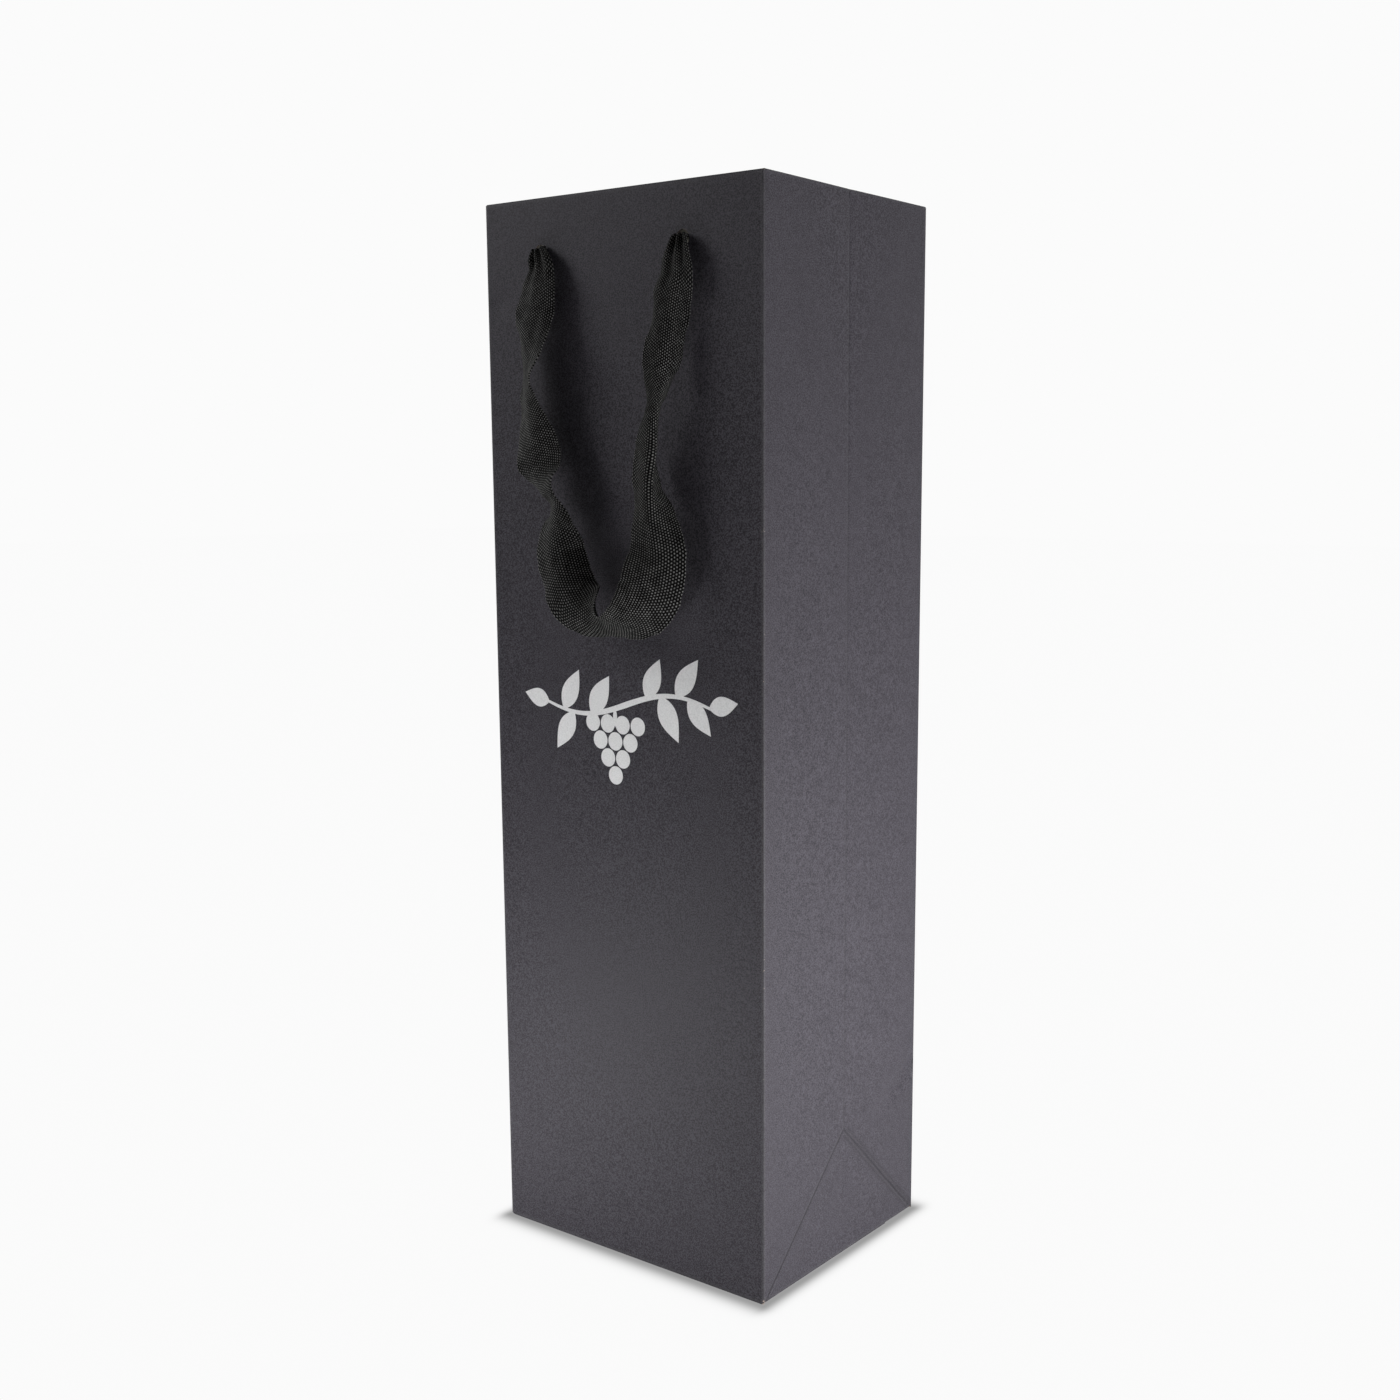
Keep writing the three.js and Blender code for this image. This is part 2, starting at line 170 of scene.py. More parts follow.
def make_grain():
    """Tone and height of paper: fine tooth, softer felt marks and a broad cloud, added in fixed shares."""
    group, given, result = new_group(
        "Paper grain",
        [("Vector", VECTOR, None), ("Tooth", FLOAT, 2600.0)],
        [("Tone", FLOAT), ("Cloud", FLOAT), ("Height", FLOAT)],
    )
    place, tooth = given.outputs["Vector"], given.outputs["Tooth"]
    fine = noise(group, place, tooth, 2.0)
    felt = noise(group, place, calc(group, "MULTIPLY", tooth, FELT_TO_TOOTH), 3.0)
    cloud = noise(group, place, CLOUD_SCALE, 2.0)
    tone = calc(group, "ADD", calc(group, "MULTIPLY", fine, 0.85), calc(group, "MULTIPLY", felt, 0.15))
    height = calc(group, "ADD", calc(group, "MULTIPLY", fine, 0.5), calc(group, "MULTIPLY", felt, 0.5))
    group.links.new(tone, result.inputs["Tone"])
    group.links.new(cloud, result.inputs["Cloud"])
    group.links.new(height, result.inputs["Height"])
    return group


GRAIN = make_grain()

# %% [markdown]
# **Worn folds.** Where printed paper is folded the ink cracks and rubs thin, so each edge shows as a broken
# pale line. Every sheet below carries an attribute, `fold`, that is 1 on a fold and falls to 0 beside it. The
# group breaks that up with noise: a thin continuous rub and rarer chips down to the bare core.

# %% Worn fold group
CRACK_SCALE = 420.0
SPECK_SCALE = 2400.0


def make_wear():
    """Rub is the fold value raised to a power, thinned by noise. Chip is where fold and noise are high."""
    group, given, result = new_group(
        "Worn fold",
        [("Vector", VECTOR, None), ("Fold", FLOAT, 0.0), ("Amount", FLOAT, 0.6)],
        [("Rub", FLOAT), ("Chip", FLOAT)],
    )
    place, fold, amount = (given.outputs[i] for i in range(3))
    patchy = noise(group, place, CRACK_SCALE, 4.0)
    fine = noise(group, place, SPECK_SCALE, 2.0)
    edge = calc(group, "POWER", fold, 1.6)
    uneven = remap(group, patchy, 0.28, 0.72, 0.55, 1.15)
    rub = calc(group, "MULTIPLY", calc(group, "MULTIPLY", edge, uneven), amount)
    speck = calc(group, "ADD", calc(group, "MULTIPLY", fine, 0.5), calc(group, "MULTIPLY", patchy, 0.5))
    raised = calc(group, "ADD", speck, calc(group, "MULTIPLY", calc(group, "SUBTRACT", fold, 1.0), 0.45))
    chip = remap(group, raised, 0.60, 0.66)
    group.links.new(calc(group, "MINIMUM", rub, 1.0), result.inputs["Rub"])
    group.links.new(chip, result.inputs["Chip"])
    return group


WEAR = make_wear()

# %% [markdown]
# ** Ribbon weave.** The ribbon is a soft taffeta of thick black thread. Its stitches stand in columns along
# the ribbon, each moved by half a stitch against the next, with a dark furrow between columns. A product of
# two waves gives a stitch, and a third wave the furrows. The tone follows that height: a painted highlight on
# the stitch tops and painted shade in the furrows and gaps. The pattern follows the ribbon's own UV map, in
# metres along and across, and so turns and twists with it.

# %% Ribbon weave group
STITCH_LONG = 0.95 * MM
STITCH_WIDE = 1.8 * MM
STITCH_DRIFT = 3.2  # radians by which the stitches wander along the ribbon
FURROW_FLOOR = 0.3  # height left in a furrow
DRIFT_SCALE, FUZZ_SCALE, LOOSE_SCALE = 220.0, 5200.0, 330.0


def make_weave():
    """Height is the larger of two wave products half a stitch apart, as a square root, which rounds it, times
    the furrow's wave. Tone is a high power of that height, which paints a highlight on the stitch tops and
    shade between them, patchy like loose thread, and a fine fuzz."""
    group, given, result = new_group(
        "Ribbon weave",
        [("UV", VECTOR, None), ("Along", FLOAT, STITCH_LONG), ("Across", FLOAT, STITCH_WIDE)],
        [("Tone", FLOAT), ("Height", FLOAT)],
    )
    cloth = given.outputs["UV"]
    place = put(group, "ShaderNodeSeparateXYZ", {0: cloth})
    wobble = noise(group, cloth, DRIFT_SCALE, 2.0)
    drift = calc(group, "MULTIPLY", calc(group, "SUBTRACT", wobble, 0.5), STITCH_DRIFT)
    along = calc(group, "DIVIDE", place.outputs[0], given.outputs["Along"])
    across = calc(group, "DIVIDE", place.outputs[1], given.outputs["Across"])
    waves = []
    for offset in (0.0, math.pi / 2):
        first = calc(group, "ADD", calc(group, "MULTIPLY_ADD", along, math.pi, offset), drift)
        second = calc(group, "MULTIPLY_ADD", across, math.pi, offset)
        one = calc(group, "ABSOLUTE", calc(group, "SINE", first))
        other = calc(group, "ABSOLUTE", calc(group, "SINE", second))
        waves.append(calc(group, "MULTIPLY", one, other))
    rows = calc(group, "ABSOLUTE", calc(group, "COSINE", calc(group, "MULTIPLY", across, 2 * math.pi)))
    furrow = calc(group, "MULTIPLY_ADD", calc(group, "SQRT", rows), 1.0 - FURROW_FLOOR, FURROW_FLOOR)
    height = calc(group, "MULTIPLY", calc(group, "SQRT", calc(group, "MAXIMUM", *waves)), furrow)
    fuzz = noise(group, cloth, FUZZ_SCALE, 2.0)
    crests = calc(group, "POWER", height, 5.0)
    loose = noise(group, cloth, LOOSE_SCALE, 3.0)
    # Painted highlight on the stitch tops; where it is low, the gaps keep painted shade.
    painted_highlight = calc(group, "MULTIPLY", crests, calc(group, "ADD", calc(group, "MULTIPLY", loose, 1.3), 0.2))
    tone = calc(group, "ADD", painted_highlight, calc(group, "MULTIPLY", calc(group, "SUBTRACT", fuzz, 0.5), 0.6))
    group.links.new(tone, result.inputs["Tone"])
    group.links.new(height, result.inputs["Height"])
    return group


WEAVE = make_weave()

# %% [markdown]
# ## Finishes
# Each finish is one material: the groups give tone, wear and bump, and the Principled shader stays outside
# them with its own plain numbers.

# %% Finish helpers
def new_material(name, roughness, specular):
    """A material with a Principled shader, and its tree, shader and object coordinates."""
    material = bpy.data.materials.new(name)
    material.use_nodes = True
    tree = material.node_tree
    shader = tree.nodes["Principled BSDF"]
    shader.inputs["Roughness"].default_value = roughness
    shader.inputs["Specular IOR Level"].default_value = specular
    place = put(tree, "ShaderNodeTexCoord").outputs["Object"]
    return material, tree, shader, place


def group_node(tree, group, values):
    """One use of a shared effect."""
    return put(tree, "ShaderNodeGroup", values, node_tree=group)


def attribute(tree, name):
    """A value that each point of a sheet carries."""
    return put(tree, "ShaderNodeAttribute", attribute_name=name).outputs["Fac"]


def raise_surface(tree, shader, height, distance, strength):
    """Feeds a height to the shader's normal through a Bump node."""
    bump = put(tree, "ShaderNodeBump", {"Height": height, "Distance": distance, "Strength": strength})
    tree.links.new(bump.outputs["Normal"], shader.inputs["Normal"])


# %% [markdown]
# ** Printed paper.** The outside is a charcoal print with a faint violet cast on coated paper. It is matt,
# with a slight gloss from the ink, and it goes pale along its folds. Along the creases at a gusset's foot it
# carries painted shade, a near black ink.

# %% Printed paper, raw paper and cut edges
INK_DARK = (0.0095, 0.0081, 0.0114, 1.0)
INK_LIGHT = (0.0520, 0.0481, 0.0584, 1.0)
INK_CREASE_SHADE = (0.0060, 0.0054, 0.0066, 1.0)
INK_RUBBED = (0.066, 0.064, 0.069, 1.0)
BARE_CORE = (0.46, 0.36, 0.30, 1.0)


def make_printed_paper():
    """Charcoal grain tone, painted shade on the creases, then rubbed and chipped by the wear group."""
    material, tree, shader, place = new_material("charcoal_print", roughness=0.62, specular=0.18)
    grain = group_node(tree, GRAIN, {"Vector": place, "Tooth": 2300.0})
    wear = group_node(tree, WEAR, {"Vector": place, "Fold": attribute(tree, "fold"), "Amount": 0.62})
    contrast = remap(tree, grain.outputs["Tone"], 0.38, 0.62)
    clouded = calc(tree, "ADD", contrast, calc(tree, "MULTIPLY", grain.outputs["Cloud"], 0.12))
    printed = mix_colour(tree, clouded, INK_DARK, INK_LIGHT)
    # Painted shade: along the gussets' creases the print darkens towards a near black ink.
    crease_shaded = mix_colour(tree, attribute(tree, "crease_groove_and_painted_shade"), printed, INK_CREASE_SHADE)
    rubbed = mix_colour(tree, wear.outputs["Rub"], crease_shaded, INK_RUBBED)
    chipped = mix_colour(tree, wear.outputs["Chip"], rubbed, BARE_CORE)
    tree.links.new(chipped, shader.inputs["Base Color"])
    rough = remap(tree, grain.outputs["Tone"], 0.3, 0.7, 0.55, 0.72)
    tree.links.new(rough, shader.inputs["Roughness"])
    raise_surface(tree, shader, grain.outputs["Height"], distance=0.05 * MM, strength=0.5)
    return material


def make_raw_paper(name, low, high, tooth):
    """Unprinted paper or board: two near tones mixed by the grain, with a soft tooth."""
    material, tree, shader, place = new_material(name, roughness=0.85, specular=0.2)
    grain = group_node(tree, GRAIN, {"Vector": place, "Tooth": tooth})
    tone = mix_colour(tree, remap(tree, grain.outputs["Tone"], 0.25, 0.75), low, high)
    tree.links.new(tone, shader.inputs["Base Color"])
    raise_surface(tree, shader, grain.outputs["Height"], distance=0.08 * MM, strength=0.5)
    return material


PRINTED = make_printed_paper()
INSIDE = make_raw_paper("bag_lining", (0.60, 0.56, 0.50, 1.0), (0.72, 0.68, 0.62, 1.0), 1500.0)
CUT_EDGE = make_raw_paper("cut_edge", (0.11, 0.078, 0.062, 1.0), (0.22, 0.165, 0.135, 1.0), 3000.0)
GREY_BOARD = make_raw_paper("grey_board", (0.34, 0.31, 0.27, 1.0), (0.50, 0.46, 0.41, 1.0), 900.0)

# %% [markdown]
# ** Ribbon and print.** The ribbon's black thread carries a painted highlight, a neutral grey, on the tops of
# its stitches and painted shade, near black, between them, with a trace of sheen. The sprig is a pale grey
# ink that fills the paper's tooth, so it is a little smoother.

# %% Ribbon and pale ink
THREAD_PAINTED_SHADE = (0.0004, 0.0004, 0.0004, 1.0)
THREAD_PAINTED_HIGHLIGHT = (0.168, 0.168, 0.164, 1.0)
PALE_LOW = (0.55, 0.55, 0.555, 1.0)
PALE_HIGH = (0.67, 0.67, 0.675, 1.0)


def make_ribbon():
    """Black thread: painted shade between stitches, a painted grey highlight on top, sheen for the fibres."""
    material, tree, shader, _ = new_material("black_ribbon", roughness=0.85, specular=0.04)
    place = put(tree, "ShaderNodeUVMap", uv_map="cloth").outputs["UV"]
    weave = group_node(tree, WEAVE, {"UV": place})
    # From painted shade between the stitches to a painted grey highlight on their tops.
    tone = mix_colour(tree, remap(tree, weave.outputs["Tone"], 0.1, 1.0), THREAD_PAINTED_SHADE, THREAD_PAINTED_HIGHLIGHT)
    tree.links.new(tone, shader.inputs["Base Color"])
    shader.inputs["Sheen Weight"].default_value = 0.015
    shader.inputs["Sheen Roughness"].default_value = 0.5
    shader.inputs["Sheen Tint"].default_value = (0.8, 0.8, 0.78, 1.0)
    raise_surface(tree, shader, weave.outputs["Height"], distance=0.3 * MM, strength=1.0)
    return material


def make_pale_ink():
    """Pale grey with the paper's grain showing through it as a slightly darker speckle."""
    material, tree, shader, place = new_material("pale_print", roughness=0.5, specular=0.4)
    grain = group_node(tree, GRAIN, {"Vector": place, "Tooth": 2100.0})
    tone = mix_colour(tree, remap(tree, grain.outputs["Tone"], 0.3, 0.6), PALE_LOW, PALE_HIGH)
    tree.links.new(tone, shader.inputs["Base Color"])
    raise_surface(tree, shader, grain.outputs["Height"], distance=0.04 * MM, strength=0.4)
    return material


RIBBON = make_ribbon()
PALE_INK = make_pale_ink()

# %% [markdown]
# ## Sheets
# Paper has two faces and a cut edge, and all three show on a bag: print outside, raw paper inside, bare core
# at a cut. A sheet is therefore worked out as two grids of points, the outer face and the inner one, joined
# along every open edge, including the edge of a punched hole.

# %% Sheet helpers
WELD_GAP = 0.0005 * MM  # points nearer than this are one
SHARP_FROM = math.radians(40)


def points_at(x, y, z):
    """A grid of points from three arrays that may be a row, a column or a whole grid."""
    return np.stack(np.broadcast_arrays(x, y, z), axis=-1)


def cells(rows, columns, keep=None):
    """The corners of each cell of a grid, row by row. `keep` marks the cells that aren't cut away."""
    number = np.arange(rows * columns).reshape(rows, columns)
    faces = np.stack([number[:-1, :-1], number[:-1, 1:], number[1:, 1:], number[1:, :-1]], axis=-1)
    return faces[keep] if keep is not None else faces.reshape(-1, 4)


def open_edges(faces):
    """The edges that only one face has, each in that face's own direction."""
    edges = np.concatenate([faces[:, [i, (i + 1) % 4]] for i in range(4)])
    _, first, count = np.unique(np.sort(edges, axis=1), axis=0, return_index=True, return_counts=True)
    return edges[first[count == 1]]


def turned_to(faces, points, facing):
    """The faces, all turned round if the one in the middle of the list looks away from `facing`."""
    a, b, c, d = points[faces[len(faces) // 2]]
    return faces[:, ::-1] if np.cross(c - a, d - b) @ np.array(facing) < 0 else faces


def shell_faces(front, count):
    """The faces of a thin sheet, made of two grids of `count` points: the outer grid's, the inner grid's,
    which are the same turned round, and a rim that joins them along every open edge."""
    a, b = open_edges(front).T
    rim = np.stack([b, a, a + count, b + count], axis=1)
    return np.concatenate([front, front[:, ::-1] + count, rim])


def finish_mesh(name, points, faces, materials, kinds=None, fold=None, crease_groove_and_painted_shade=None, uv=None):
    """Puts arrays into a mesh: points, four-cornered faces, a material number per face, a fold value and a
    value of painted crease shade per point, and a cloth map per point."""
    mesh = bpy.data.meshes.new(name)
    mesh.from_pydata(points.tolist(), [], faces.tolist())
    for material in materials:
        mesh.materials.append(material)
    if kinds is not None:
        mesh.polygons.foreach_set("material_index", kinds.astype(np.int32))
    mesh.polygons.foreach_set("use_smooth", np.ones(len(faces), bool))
    # Besides the fold, each point carries a share of painted crease shade.
    for label, given in (("fold", fold), ("crease_groove_and_painted_shade", crease_groove_and_painted_shade)):
        if given is not None:
            carried = mesh.attributes.new(label, "FLOAT", "POINT")
            carried.data.foreach_set("value", given.astype(np.float32))
    if uv is not None:
        layer = mesh.uv_layers.new(name="cloth")
        layer.data.foreach_set("uv", uv[faces.reshape(-1)].astype(np.float32).reshape(-1))
    piece = bpy.data.objects.new(name, mesh)
    bpy.context.scene.collection.objects.link(piece)
    return piece


def sharpen(piece):
    """Keeps the cut edges of a sheet crisp while its faces shade smoothly."""
    piece.data.set_sharp_from_angle(angle=SHARP_FROM)


def weld(piece, outwards=False):
    """Joins points that lie on each other, which closes seams and grids that narrow to a point."""
    shell = bmesh.new()
    shell.from_mesh(piece.data)
    bmesh.ops.remove_doubles(shell, verts=shell.verts, dist=WELD_GAP)
    if outwards:
        bmesh.ops.recalc_face_normals(shell, faces=shell.faces)
    shell.to_mesh(piece.data)
    shell.free()


def sheet_piece(name, outer, inner, facing, fold, materials, keep=None, crease_groove_and_painted_shade=0.0):
    """A sheet from the grids of its outer and inner faces. `facing` is roughly the way that the outer face
    looks, at the middle of the grid, and turns the faces the right way round. Materials are for the outer
    face, the inner face and the cut edge. Only the outer face carries fold values and painted crease shade."""
    shape = outer.shape[:2]
    flat = outer.reshape(-1, 3)
    front = turned_to(cells(*shape, keep), flat, facing)
    faces = shell_faces(front, len(flat))
    kinds = np.repeat([0, 1, 2], [len(front), len(front), len(faces) - 2 * len(front)])
    points = np.concatenate([flat, inner.reshape(-1, 3)])
    fold, crease_groove_and_painted_shade = (
        np.concatenate([np.broadcast_to(value, shape).reshape(-1), np.zeros(len(flat))])
        for value in (fold, crease_groove_and_painted_shade)
    )
    piece = finish_mesh(name, points, faces, materials, kinds, fold, crease_groove_and_painted_shade)
    sharpen(piece)
    return piece


def soft_steps(low, high, count, ends=0.6):
    """Places from low to high that crowd towards both ends: a straight run bent by a sine."""
    t = np.linspace(0, 1, count)
    return low + (high - low) * (t - ends * np.sin(2 * np.pi * t) / (2 * np.pi))


def near(distance, reach):
    """1 at distance 0, falling smoothly to nothing over a few times the reach."""
    return np.exp(-np.abs(distance) / reach)


PAPER_FINISHES = (PRINTED, INSIDE, CUT_EDGE)

# %% [markdown]
# ## How the bag stands
# A filled or newly opened bag isn't a box: the walls swell a little between the card at the top and the base,
# and the gussets keep the valley of the crease that lets them fold. These two functions give how far each
# face stands out from its flat plane. Both fall to nothing along the upright edges, so neighbours meet.

# %% Shape of the faces
WALL_ARCH = 0.55 * MM
WALL_RIPPLE = 0.05 * MM
WALL_DENT = 1.8 * MM  # near the left upright edge, above the middle
GUSSET_ARCH = 0.35 * MM
GUSSET_VALLEY = 0.45 * MM
GUSSET_DISH = 2.6 * MM
GUSSET_DENT = 1.3 * MM  # near the far upright edge, low down
SLOPE_CREASE, SECOND_SLOPE, MIDDLE_CREASE = 0.22 * MM, 0.12 * MM, 0.07 * MM  # how deep each is pressed


def wall_swell(x, z):
    """How far a wall stands out: a long arch up the height times a parabola across, a faint ripple made of
    two sines, less a small dent that is a bell curve both ways."""
    across = 1 - (x / HALF_WIDTH) ** 2
    up = np.sin(np.pi * np.clip(z / (HEM_FOOT + 12 * MM), 0, 1)) ** 2
    arch = WALL_ARCH * across * up
    ripple = WALL_RIPPLE * across * np.sin(x / (13 * MM) + 2.1) * np.sin(z / (31 * MM) + 0.4)
    dent = WALL_DENT * np.exp(-(((x + 56 * MM) / (5 * MM)) ** 2) - ((z - 336 * MM) / (3.2 * MM)) ** 2)
    return arch + ripple - dent * across


def groove(distance, width):
    """A rounded groove: a bell curve of the distance from its middle line."""
    return np.exp(-((distance / width) ** 2))


def gusset_swell(y, z):
    """How far a gusset stands out: a slight arch, less the valley of its middle crease above the apex, a
    shallow dish in the triangle at its foot, the pressed grooves of the creases and a slanting dent."""
    across = 1 - (y / HALF_DEPTH) ** 2
    rise = np.clip((z - APEX) / (HEIGHT - APEX), 0, 1)
    valley = GUSSET_VALLEY * rise * across * np.exp(-np.abs(y) / (18 * MM))
    arch = GUSSET_ARCH * across * np.sin(np.pi * np.clip(z / HEIGHT, 0, 1))
    inside = np.clip(1 - (np.abs(y) + z) / APEX, 0, 1)
    dish = GUSSET_DISH * inside * np.clip(z / APEX, 0, 1)
    slope = (np.abs(y) + z - APEX) / math.sqrt(2)
    reach = np.clip((APEX + 3 * MM - z) / (3 * MM), 0, 1)
    crease_groove_and_painted_shade = SLOPE_CREASE * groove(slope, 0.5 * MM) * reach
    second = SECOND_SLOPE * groove(slope - 1.5 * MM, 0.45 * MM) * reach * (y > 0)
    middle = MIDDLE_CREASE * groove(y, 0.6 * MM) * np.clip((z - APEX) / (2 * MM), 0, 1)
    slant = z - 57 * MM - 0.45 * (y - 44 * MM)
    dent = GUSSET_DENT * groove(y - 42 * MM, 15 * MM) * groove(slant, 4 * MM)
    return (arch - valley - dish - crease_groove_and_painted_shade - second - middle - dent) * np.clip(across * 12, 0, 1)


def crease_half(z):
    """Half the width of a gusset's middle panel at a height: a straight line from the foot to nothing at the
    top."""
    return np.clip(CREASE_HALF * (1 - (z - CREASE_FOOT) / (HEIGHT - CREASE_FOOT)), 0, HALF_DEPTH - CORNER)


# %% [markdown]
# ## Walls
# Each wall is one grid from the foot to the start of the top fold. Its columns crowd where the two holes are,
# and there the square cells are eased onto a round outline, so that a punched hole is a real opening with a
# cut edge and nothing needs to be cut from the finished mesh.

# %% Wall sheets
HOLE_HALF = 2.7 * MM
hole_centres = []
for knot in ("front_left_knot", "front_right_knot"):
    low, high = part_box(knot)
    hole_centres.append(((low.x + high.x) / 2, (low.z + high.z) / 2))
HOLE_Z = hole_centres[0][1]


def with_holes(lines, centres):
    """Grid lines that also run evenly across each hole, from three of its half widths on one side to three
    on the other."""
    across_hole = HOLE_HALF * np.linspace(-3, 3, 25)
    for centre in centres:
        lines = lines[np.abs(lines - centre) > 3.4 * HOLE_HALF]
        lines = np.concatenate([lines, centre + across_hole])
    return np.sort(lines)


def ease_to_round(x, z, centre):
    """Moves points near a hole so that the square around it becomes a circle. The shift fades out over two
    half widths: a point moves to its direction times the larger of its two offsets."""
    dx, dz = x - centre[0], z - centre[1]
    box = np.maximum(np.abs(dx), np.abs(dz))
    length = np.maximum(np.hypot(dx, dz), 1e-9)
    pull = np.clip((3 * HOLE_HALF - box) / (2 * HOLE_HALF), 0, 1)
    scale = 1 - pull + pull * box / length
    return centre[0] + dx * scale, centre[1] + dz * scale


def foot_curl(bottom):
    """The bent foot of a sheet, a quarter circle: how far in it is and how high, and the normal's outward and
    upward parts."""
    angle = np.linspace(np.pi / 2, 0, 7)
    inset = CORNER * (1 - np.cos(angle))
    return inset, bottom + CORNER * (1 - np.sin(angle)), np.cos(angle), -np.sin(angle)


def rise_from(foot, z_up):
    """The foot's four arrays carried on straight up through the given heights."""
    inset, z, out, up = foot
    level = np.zeros(len(z_up))
    pairs = ((inset, level), (z, z_up), (out, level + 1), (up, level))
    return [np.concatenate(pair) for pair in pairs]


def make_wall(end, side):
    """A wall from its curled foot to the top fold. Depth is -half depth at the front: outward is `side`."""
    centres = [(-side * x, z) for x, z in hole_centres]
    x = with_holes(soft_steps(-FLAT_HALF, FLAT_HALF, 61), [x for x, _ in centres])
    foot = foot_curl(0.0 if side < 0 else LAYER)
    z_up = with_holes(soft_steps(foot[1][-1], HEIGHT - WALL_FOLD, 150, 0.5)[1:], [HOLE_Z])
    inset, z, out, up = rise_from(foot, z_up)
    x_grid, z_grid = np.meshgrid(x, z)
    keep = np.ones((len(z) - 1, len(x) - 1), bool)
    x_mid, z_mid = np.meshgrid((x[1:] + x[:-1]) / 2, (z[1:] + z[:-1]) / 2)
    rim = np.full(x_grid.shape, 1.0)
    for centre in centres:
        keep &= np.maximum(np.abs(x_mid - centre[0]), np.abs(z_mid - centre[1])) > HOLE_HALF
        x_grid, z_grid = ease_to_round(x_grid, z_grid, centre)
        from_rim = np.hypot(x_grid - centre[0], z_grid - centre[1]) - HOLE_HALF
        rim = np.minimum(rim, from_rim / (4 * MM))
    y_grid = side * (HALF_DEPTH - inset[:, None] + wall_swell(x_grid, z_grid))
    outer = points_at(x_grid, y_grid, z_grid)
    inner = outer - PAPER * points_at(0 * x_grid, side * out[:, None], up[:, None])
    corner = near(FLAT_HALF - np.abs(x_grid), 0.30 * MM)
    foot_rub = near(z_grid - CORNER, 0.5 * MM) * 0.9
    top_rub = near(HEIGHT - WALL_FOLD - z_grid, 0.3 * MM) * 0.7
    hole_rub = near(rim * 4 * MM, 0.25 * MM) * 0.75
    fold = np.max([corner, foot_rub, top_rub, hole_rub], axis=0)
    piece = sheet_piece(f"{end}_wall_sheet", outer, inner, (0, side, 0), fold, PAPER_FINISHES, keep)
    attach(piece, f"{end}_wall")
    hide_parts(f"{end}_wall")
    return piece


SIDES = (("front", -1), ("back", 1))
HANDS = (("left", -1), ("right", 1))
for end, side in SIDES:
    wall = make_wall(end, side)
    print(wall.name, len(wall.data.polygons))

# %% [markdown]
# ## Hems
# The top of the sheet is turned in by 40 mm, over a strip of card on each wall. Seen from the end a hem is a
# cane: a half circle over the top and a straight leg down inside. The same cane is carried along the wall,
# and along each long gusset panel, where it is thinner and its inner edge follows the slanting crease.

# %% Hem sheets
def cane(top, radius, foot, count=11, leg=14):
    """A hem's outline: a half circle from the outer face over to the inner one, then a leg down to its foot.
    Gives how far in, how high, and the normal's outward and upward parts."""
    angle = np.linspace(0, np.pi, count)
    inset = np.concatenate([radius * (1 - np.cos(angle)), np.full(leg, 2 * radius)])
    z = np.concatenate([top - radius + radius * np.sin(angle), np.linspace(top - radius, foot, leg + 1)[1:]])
    out = np.concatenate([np.cos(angle), np.full(leg, -1.0)])
    up = np.concatenate([np.sin(angle), np.zeros(leg)])
    return inset, z, out, up


def make_wall_hem(end, side):
    """The cane carried across a wall. It stops short of the corners, inside the gussets' sheets."""
    inset, z, out, up = cane(HEIGHT, WALL_FOLD, HEM_FOOT)
    x_grid, z_grid = np.meshgrid(soft_steps(-FLAT_HALF, FLAT_HALF, 61), z)
    sag = np.clip((HEIGHT - z_grid) / (40 * MM), 0, 1) ** 2
    wave = 0.12 * MM * np.sin(x_grid / (11 * MM) + side) * sag
    leg = (out < -0.99)[:, None]
    y_grid = side * (HALF_DEPTH - inset[:, None] + wall_swell(x_grid, z_grid) - leg * np.abs(wave))
    outer = points_at(x_grid, y_grid, z_grid)
    inner = outer - PAPER * points_at(0 * x_grid, side * out[:, None], up[:, None])
    bend = near(z_grid - HEIGHT, 0.35 * MM) * 0.8
    corner = near(FLAT_HALF - np.abs(x_grid), 0.9 * MM) * (out > -0.9)[:, None]
    fold = np.maximum(bend, corner)
    piece = sheet_piece(f"{end}_hem_sheet", outer, inner, (0, -side, 0), fold, PAPER_FINISHES)
    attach(piece, f"{end}_wall")
    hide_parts(f"{end}_hem")


for end, side in SIDES:
    make_wall_hem(end, side)

# %% [markdown]
# ## Gussets
# A gusset is one sheet that its creases divide. The middle panel leans in as the mouth is pinched and the
# long panels beside it tuck in behind the walls, so they are three pieces that meet edge to edge along the
# slanting creases. A long panel also carries the rounded upright edge of the bag.

# %% Gusset sheets
FOOT_OF_GUSSET = 2 * LAYER
FLAT_DEPTH = HALF_DEPTH - CORNER  # how far a gusset is flat, from its middle to its rounded edge
SECOND_CREASE = 1.5 * MM  # a fainter crease lies this far beside the far one at the foot
ONLY_PAST = 9 * MM  # added to a distance to take a mark's reach away from the other side of the apex


